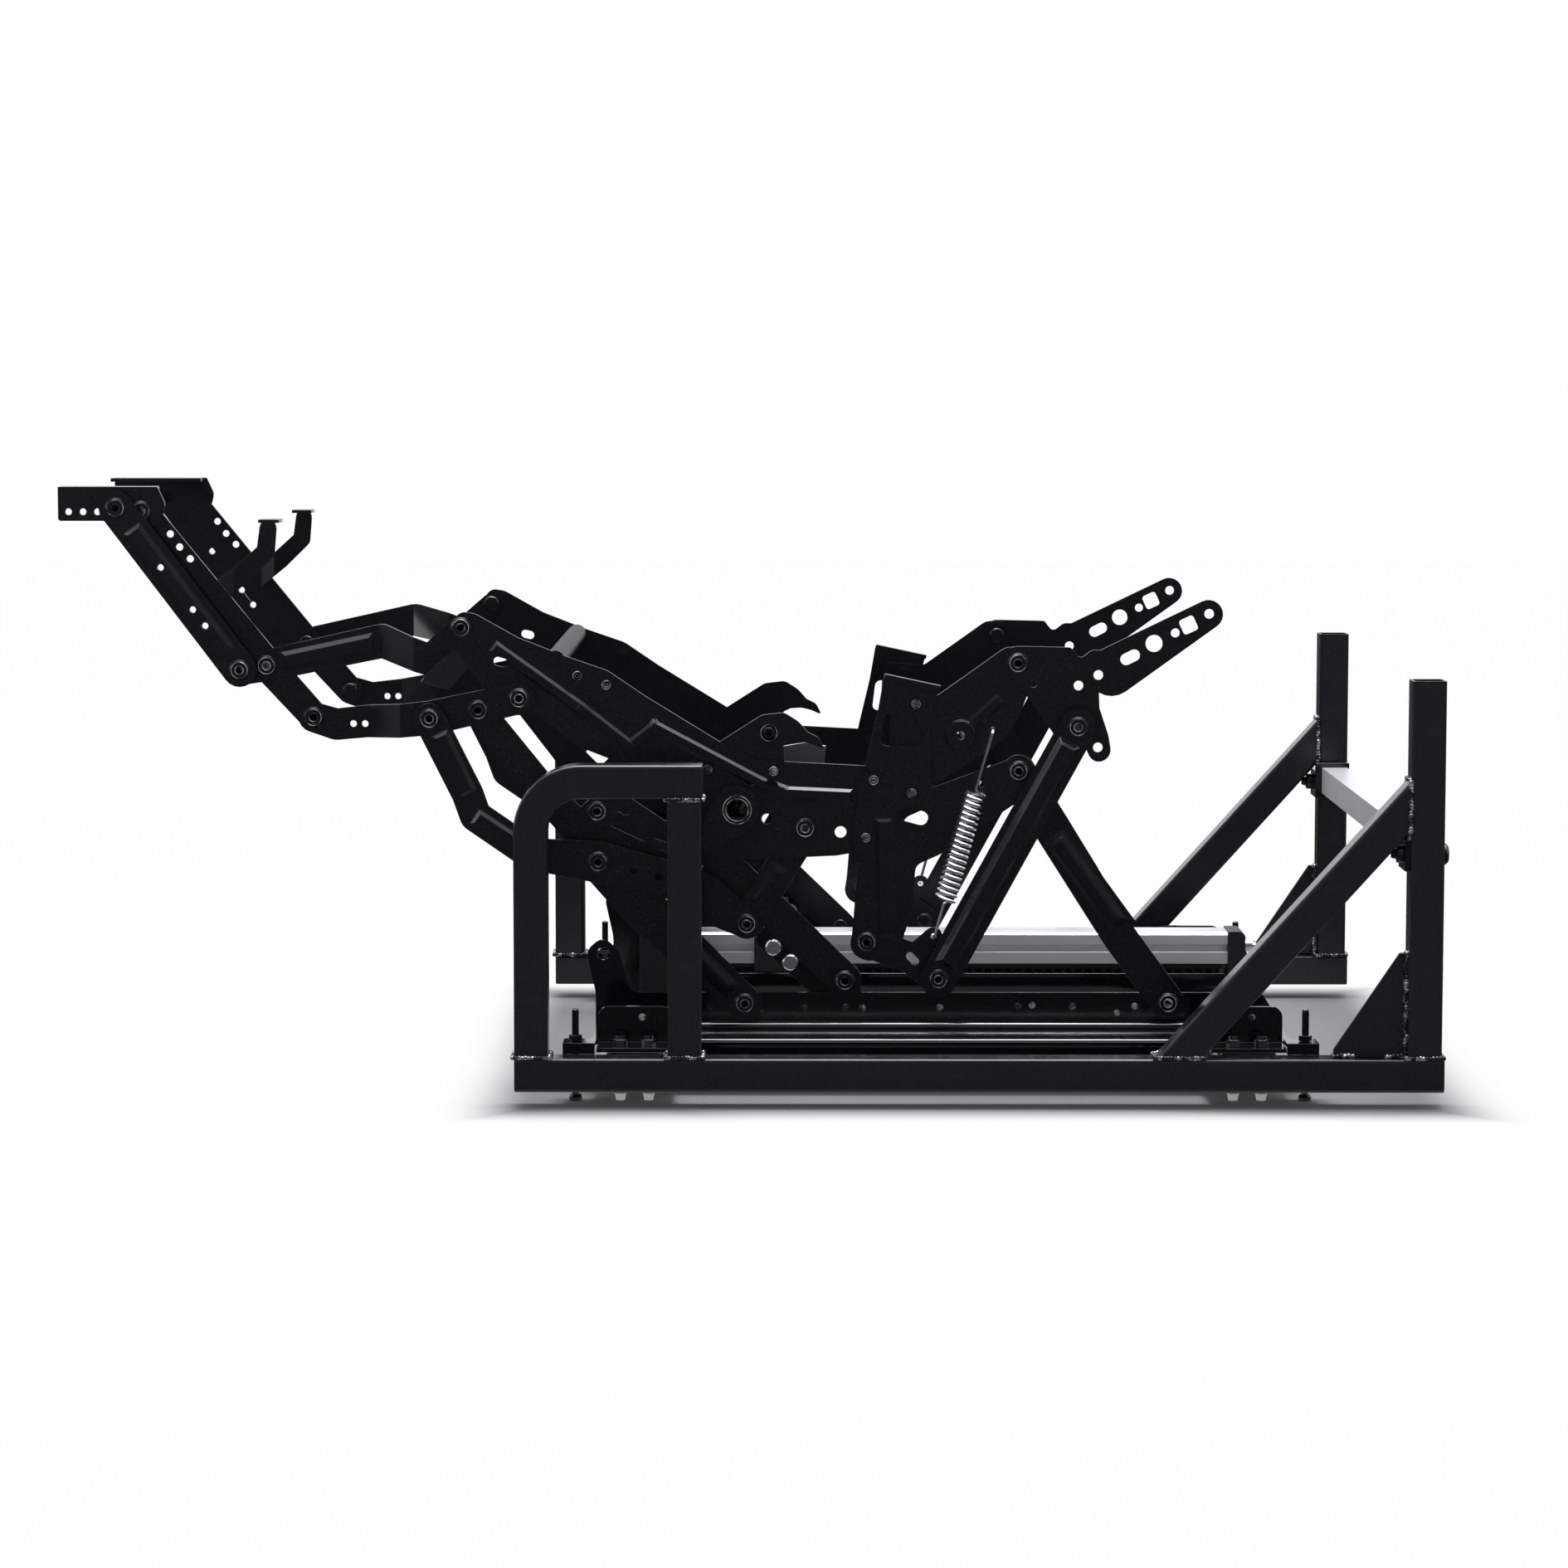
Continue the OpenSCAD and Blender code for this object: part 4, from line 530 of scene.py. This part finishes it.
# Painted glints: light metallic patches scattered over the coated bead.
glint_patches = weld_coat.noise(170.0).fade(0.48, 0.60)
weld_tint_with_glints = weld_coat.mix(glint_patches, rgb(0.008, 0.008, 0.010), rgb(0.42, 0.43, 0.45))
weld_gloss = weld_coat.surface(Base_Color=weld_tint_with_glints, Metallic=glint_patches * 0.8,
                               Roughness=0.06 + weld_coat.noise(300.0) * 0.12,
                               Normal=weld_coat.bump(weld_coat.noise(900.0), 0.0002))
beads = bead_tree(weld_gloss)
grown("frame_welds", weld_path("frame_welds", frame_seams), beads, "base",
      {"Drop Radius": 0.0018, "Pitch": 0.0024, "Seed": 3})
grown("gusset_welds", weld_path("gusset_welds", gusset_seams), beads, "base",
      {"Drop Radius": 0.0025, "Pitch": 0.0024, "Seed": 8})

# The chassis: pressed steel sheet in a glossy black coat, bolted and riveted together. Two cross
# members with mounting plates at their ends carry the two lift rails and the actuator's saddle. The
# brackets of the rear cross bar and the plates of the base struts are made in the same way.
chassis_coat = black_coat("chassis_coat", (0.0034, 0.0042, 0.0050), gloss=0.09, peel_scale=260.0,
                          peel_height=0.00002, dust=0.08)
dress(["front_cross_member", "rear_cross_member", "mounting_plates", "left_lift_rail", "right_lift_rail"],
      chassis_coat, rim=0.0009, segments=3)
dress(["cross_bar_brackets", "strut_plates", "actuator_saddle"], chassis_coat)


# Folded edges of the chassis, bent from the same sheet: a return lip under each lift rail's flange,
# with the coat run into a bright bead at both folds, and a lip on the front of each foot bracket.
# The return lip is also a dark strip over the floor seen under the flange, standing in for its shade.
def folded_strip(name, boxes, rim, coat):
    """Strips given by their lowest and highest corners in millimetres, on the near and the far side."""
    shape = bmesh.new()
    for low, high in boxes:
        for side in (1, -1):
            middle = [(a + b) / 2000 for a, b in zip(low, high)]
            spread = [(b - a) / 1000 for a, b in zip(low, high)]
            place = Matrix.Translation((middle[0], side * middle[1], middle[2]))
            bmesh.ops.create_cube(shape, size=1.0, matrix=place @ Matrix.Diagonal((*spread, 1.0)))
    bmesh.ops.bevel(shape, geom=list(shape.edges), offset=rim, segments=3, profile=0.5, affect="EDGES")
    for face in shape.faces:
        face.smooth = True
    mesh = bpy.data.meshes.new(name)
    shape.to_mesh(mesh)
    shape.free()
    mesh.set_sharp_from_angle(angle=math.radians(50))
    mesh.materials.append(coat)
    piece = bpy.data.objects.new(name, mesh)
    bpy.context.scene.collection.objects.link(piece)
    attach(piece, "base")


front_end = corners("front_cross_member")[1][0] + 1.25
rear_end = corners("rear_cross_member")[0][0] - 0.75
flange_edge, flange_height = corners("left_lift_rail")[0][1:]
sheet = 2.6


def along_rail(inward, width, bottom, height):
    """A strip between the cross members, placed from the edge and the underside of the flange."""
    low = (front_end, flange_edge + inward, flange_height + bottom)
    return [(low, (rear_end, low[1] + width, low[2] + height))]


# Dark strip for shade: besides the lip, it covers the shaded floor seen under the flange.
shade_lip = along_rail(inward=0.0, width=sheet, bottom=-12.0, height=13.5)
folded_strip("rail_flange_lips", shade_lip, 0.0010, chassis_coat)
root_bead = along_rail(inward=61.6, width=6.1, bottom=2.8, height=4.6)
folded_strip("rail_root_beads", root_bead, 0.0021, rim_coat)
edge_bead = along_rail(inward=-0.3, width=3.7, bottom=1.2, height=3.0)
folded_strip("flange_edge_beads", edge_bead, 0.0014, rim_coat)
plates_low, plates_high = corners("mounting_plates")
lip_face = plates_low[1] + 0.2
lip_length = 23.6
lip_bottom, lip_top = 36.5, 45.0
foot_lips = [((front, lip_face, lip_bottom), (front + lip_length, lip_face + sheet, lip_top))
             for front in (plates_low[0] + 0.25, plates_high[0] - 0.15 - lip_length)]
folded_strip("foot_bracket_lips", foot_lips, 0.0008, chassis_coat)

# A tray of thin black sheet under the actuator's rail, a dark sheet put over the shaded floor there as
# painted shade: folded up at both sides and open at the top, it lies between the gearbox and the
# saddle, with the carriage travelling in it.
tray_front = corners("gearbox")[1][0] + 0.45
saddle_low, saddle_high = corners("actuator_saddle")
tray_bottom, tray_top = 44.0, 63.4
tray_sheet = 2.0
saddle_lap = 12.25
wall_face = saddle_low[1] - 0.2
wall_low = (tray_front, wall_face - tray_sheet, tray_bottom)
wall_high = (saddle_low[0] + saddle_lap, wall_face, tray_top)
folded_strip("rack_guard", [(wall_low, wall_high)], 0.0007, chassis_coat)
floor_low = (tray_front, 0.0, tray_bottom)
floor_high = (saddle_low[0] - 0.75, saddle_high[1] + tray_sheet, tray_bottom + tray_sheet)
folded_strip("rack_guard_floor", [(floor_low, floor_high)], 0.0005, chassis_coat)

# The links and plates of the mechanism: punched and pressed from 3 mm steel strip, with ribs, in a
# thin black coat. They hang on upset rivets, and the seat sides are tied together by cross tubes.
link_coat = black_coat("link_coat", (0.0042, 0.0054, 0.0066), gloss=0.23, peel_scale=420.0,
                       peel_height=0.00002, dust=0.10)
links = ["rear_swing_links", "seat_side_plates", "back_pivot_plates", "rear_hangers", "inner_brackets",
         "carrier_links", "inner_links", "footrest_hooks", "footrest_brackets", "outer_links",
         "lower_carrier_links", "control_links", "drive_links", "rockers", "torque_levers", "lever_links",
         "back_tie_links", "back_cranks", "control_struts", "base_struts"]
dress(links, link_coat, rim=0.0008, press=0.0016)
dress(["back_brackets"], link_coat, rim=0.0006)
tube_coat = black_coat("tube_coat", (0.0035, 0.0038, 0.0045), gloss=0.42, peel_scale=420.0,
                       peel_height=0.00002, dust=0.05, shine=0.12)
dress(["seat_cross_tubes", "rocker_shaft", "torque_tube", "push_link"], tube_coat)
dress(["seat_rivets", "rail_rivets", "cross_bar_bolts"], link_coat)


# Rings on the upset rivets of every pivot and every fixed joint: two light rings on each head, on the
# shoulder and round the dimple, which are partly worn coat and partly a painted highlight of the rims.
def ring_tree(material):
    """Geometry Nodes: two wire rings, with an optional low head under them, on every point."""
    tree = bpy.data.node_groups.new("rivet_rings", "GeometryNodeTree")
    tree.interface.new_socket("Points", in_out="INPUT", socket_type="NodeSocketGeometry")
    for name in ("Shoulder Radius", "Dimple Radius", "Wire", "Head Radius", "Head Height"):
        tree.interface.new_socket(name, in_out="INPUT", socket_type="NodeSocketFloat")
    tree.interface.new_socket("Rings", in_out="OUTPUT", socket_type="NodeSocketGeometry")
    step = stepper(tree)
    given = step("NodeGroupInput", {}).outputs
    wire = step("GeometryNodeCurvePrimitiveCircle", {"Resolution": 6, "Radius": given["Wire"]})
    lift = step("ShaderNodeCombineXYZ", {"Z": given["Head Height"]})
    parts = []
    for size in ("Shoulder Radius", "Dimple Radius"):
        circle = step("GeometryNodeCurvePrimitiveCircle", {"Resolution": 24, "Radius": given[size]})
        ring = step("GeometryNodeCurveToMesh", {"Curve": circle, "Profile Curve": wire})
        parts.append(step("GeometryNodeTransform", {"Geometry": ring, "Translation": lift}))
    parts.append(step("GeometryNodeMeshCone", {"Vertices": 20, "Depth": given["Head Height"],
                                               "Radius Top": given["Shoulder Radius"],
                                               "Radius Bottom": given["Head Radius"]}))
    rings = step("GeometryNodeJoinGeometry", {"Geometry": parts})
    across = step("ShaderNodeSeparateXYZ", {0: step("GeometryNodeInputPosition", {})})
    side = step("ShaderNodeMath", {0: across.outputs["Y"]}, operation="SIGN")
    lean = step("ShaderNodeMath", {0: side, 1: -math.pi / 2}, operation="MULTIPLY")
    turn = step("ShaderNodeCombineXYZ", {"X": lean})
    set_down = step("GeometryNodeInstanceOnPoints", {"Points": given["Points"], "Instance": rings,
                                                     "Rotation": turn})
    solid = step("GeometryNodeRealizeInstances", {"Geometry": set_down})
    smooth = step("GeometryNodeSetShadeSmooth", {"Geometry": solid})
    coated = step("GeometryNodeSetMaterial", {"Geometry": smooth, "Material": material})
    step("NodeGroupOutput", {"Rings": coated})
    return tree


def dimples(node, smallest, largest, rise):
    """Places on a node's rivet dimples with a radius between smallest and largest, raised by rise."""
    shape = merged_shape(node)
    places = []
    for face in shape.faces:
        centre = face.calc_center_median()
        reach = [(vert.co - centre).length for vert in face.verts]
        outward = face.normal.y * centre.y > 0.0 and abs(face.normal.y) > 0.99
        is_round = len(reach) > 9 and max(reach) - min(reach) < 0.0002
        if outward and is_round and smallest < max(reach) < largest:
            places.append(centre + face.normal * rise)
    shape.free()
    return places


def point_mesh(name, places):
    mesh = bpy.data.meshes.new(name)
    mesh.from_pydata([tuple(place) for place in places], [], [])
    return mesh


worn_ring = Finish("worn_ring")
# Painted highlight mixed with wear: light metallic patches along the rings.
bare_and_highlight = worn_ring.noise(110.0).fade(0.42, 0.62)
worn_and_highlight_tint = worn_ring.mix(bare_and_highlight, rgb(0.03, 0.03, 0.033), rgb(0.62, 0.63, 0.66))
worn_and_highlight_rings = ring_tree(worn_ring.surface(Base_Color=worn_and_highlight_tint, Metallic=bare_and_highlight * 0.6,
                                         Roughness=0.2 + worn_ring.noise(500.0) * 0.15))
ring_kinds = [("_pivot", {"smallest": 0.0024, "largest": 0.0031, "rise": 0.0008},
               {"Shoulder Radius": 0.0062, "Dimple Radius": 0.0032, "Wire": 0.0003}),
              ("_small", {"smallest": 0.0010, "largest": 0.0016, "rise": 0.0007},
               {"Shoulder Radius": 0.0032, "Dimple Radius": 0.0015, "Wire": 0.00025})]
for body, members in bodies.items():
    for kind, dimple, sizes in ring_kinds:
        places = [place for node in members for place in dimples(node, **dimple)]
        if places:
            grown(body + kind + "_rings", point_mesh(body + kind, places), worn_and_highlight_rings, body,
                  sizes)

# Rings on the end collars of the torque tube: a light ring painted on each collar as its highlight,
# one at each end, just inside the tube's end face.
collar_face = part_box("torque_tube")[1].y - 0.0004
torque_axis = (-0.0029, 0.2095)
collar_points = [(torque_axis[0], side * collar_face, torque_axis[1]) for side in (-1, 1)]
grown("torque_collar_rings", point_mesh("torque_collars", collar_points), worn_and_highlight_rings, "torque",
      {"Shoulder Radius": 0.0108, "Dimple Radius": 0.0086, "Wire": 0.0006})

# Small semi-tubular steel rivets whose heads carry the same light rings, worn coat and painted
# highlight: ten along the web of each lift rail, placed in millimetres along and up, and one on each
# end clip of the two cross members.
web_rivets = [(15.4, 52.1), (48.4, 56.0), (80.2, 56.6), (92.8, 56.0), (151.8, 56.6), (211.6, 57.5),
              (222.4, 58.2), (253.4, 57.5), (287.8, 52.7), (301.0, 57.5)]
web_face = 0.1684
web_points = [(x / 1000, side * web_face, z / 1000) for x, z in web_rivets for side in (-1, 1)]
clip_face = 0.2430
clip_height = 0.0597
clip_points = [(x, side * clip_face, clip_height) for x in (-0.0731, 0.3829) for side in (-1, 1)]
grown("rail_web_rivets", point_mesh("rail_web_rivets", web_points + clip_points), worn_and_highlight_rings, "base",
      {"Shoulder Radius": 0.0021, "Dimple Radius": 0.0011, "Wire": 0.00025,
                      "Head Radius": 0.0028, "Head Height": 0.0009})


# Feet and bolts: the levelling feet are turned steel in the chassis coat. The bolts are zinc-plated,
# bright on the struts and smoked on the foot brackets, with bright ends under the side rails.
def bright_metal(name, colour, rough, grain=(1.0, 1.0, 1.0), metal_share=1.0):
    """Bare or plated metal, a little cloudy, with a grain that runs along any axis scaled down."""
    metal = Finish(name)
    cloud = metal.noise(14.0, detail=4.0, roughness=0.6)
    line = metal.noise(900.0, roughness=0.6, place=metal.stretched(*grain))
    tint = metal.mix(cloud * 0.5, rgb(*colour), rgb(*[part * 0.72 for part in colour]))
    return metal.surface(Base_Color=tint, Metallic=metal_share, Normal=metal.bump(line, 0.00002),
                         Roughness=rough + (line - 0.5) * 0.18 + cloud * 0.08)


dress(["levelling_feet"], chassis_coat, rim=0.0003)
zinc = bright_metal("zinc", (0.80, 0.80, 0.82), 0.2)
dress(["strut_bolts"], zinc, rim=0.0003)
smoked_zinc = bright_metal("smoked_zinc", (0.22, 0.22, 0.24), 0.16)
dress(["chassis_bolts"], smoked_zinc, rim=0.0003)


def bolt_end_tree(material):
    """Geometry Nodes: an upright six-sided bolt end, narrower at the bottom, on every point."""
    tree = bpy.data.node_groups.new("bolt_ends", "GeometryNodeTree")
    tree.interface.new_socket("Points", in_out="INPUT", socket_type="NodeSocketGeometry")
    for name in ("Upper Radius", "Lower Radius", "Length"):
        tree.interface.new_socket(name, in_out="INPUT", socket_type="NodeSocketFloat")
    tree.interface.new_socket("Ends", in_out="OUTPUT", socket_type="NodeSocketGeometry")
    step = stepper(tree)
    given = step("NodeGroupInput", {}).outputs
    end = step("GeometryNodeMeshCone", {"Vertices": 6, "Radius Top": given["Upper Radius"],
                                        "Radius Bottom": given["Lower Radius"], "Depth": given["Length"]})
    turned = step("GeometryNodeTransform", {"Geometry": end, "Rotation": (0.0, 0.0, math.pi / 2)})
    set_up = step("GeometryNodeInstanceOnPoints", {"Points": given["Points"], "Instance": turned})
    solid = step("GeometryNodeRealizeInstances", {"Geometry": set_up})
    plated = step("GeometryNodeSetMaterial", {"Geometry": solid, "Material": material})
    step("NodeGroupOutput", {"Ends": plated})
    return tree


bolts_low, bolts_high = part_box("chassis_bolts")
head_radius = 0.0055
pair_pitch = 0.021
first_bolt = bolts_low.x + head_radius
last_bolt = bolts_high.x - head_radius
bolt_row = bolts_high.y - head_radius * math.cos(math.radians(30))
end_height = 0.0008
end_points = [(x, side * bolt_row, end_height) for side in (-1, 1)
              for x in (first_bolt, first_bolt + pair_pitch, last_bolt - pair_pitch, last_bolt)]
grown("bolt_ends", point_mesh("bolt_ends", end_points), bolt_end_tree(zinc), "base",
      {"Upper Radius": 0.0050, "Lower Radius": 0.0038, "Length": 0.0052})

# The toothed sector on the rocker shaft, cut from steel plate and plated in a dull blue zinc. The
# rear cross bar and the actuator's rail are drawn alloy sections, with fine lines along them.
blued_zinc = bright_metal("blued_zinc", (0.46, 0.50, 0.56), 0.3)
drawn_alloy = bright_metal("drawn_alloy", (0.83, 0.84, 0.86), 0.3, grain=(0.02, 1.0, 1.0), metal_share=0.35)
dress(["shaft_sector"], blued_zinc, rim=0.0003)
dress(["rear_cross_bar", "actuator_rail"], drawn_alloy, rim=0.0003)

# The return springs, coiled from zinc-plated wire with a hook at each end, and the lead screw of
# the actuator. Both keep the shape that the CAD gives them and only take the bright plating.
for node in ("return_springs", "drive_screw"):
    frame["nodes"][node].data.materials.clear()
    frame["nodes"][node].data.materials.append(zinc)


# The moulded parts of the actuator: rack, end cap, gearbox and carriage in black plastic with a
# fine grain, snapped and screwed to its rail, and the smoother shell of its motor.
def moulded_plastic(name, colour, rough):
    plastic = Finish(name)
    cloud = plastic.noise(22.0, detail=3.0, roughness=0.6)
    grain = plastic.noise(1300.0, roughness=0.6)
    tint = plastic.mix(cloud * 0.4, rgb(*colour), rgb(*[part * 1.8 + 0.004 for part in colour]))
    return plastic.surface(Base_Color=tint, Roughness=rough + (cloud - 0.5) * 0.1,
                           Normal=plastic.bump(grain, 0.00005))


black_plastic = moulded_plastic("black_plastic", (0.012, 0.012, 0.014), 0.42)
motor_coat = moulded_plastic("motor_coat", (0.016, 0.016, 0.018), 0.3)
dress(["drive_rack", "actuator_end_cap", "gearbox", "drive_carriage"], black_plastic)
dress(["drive_motor"], motor_coat, rim=0.0006)
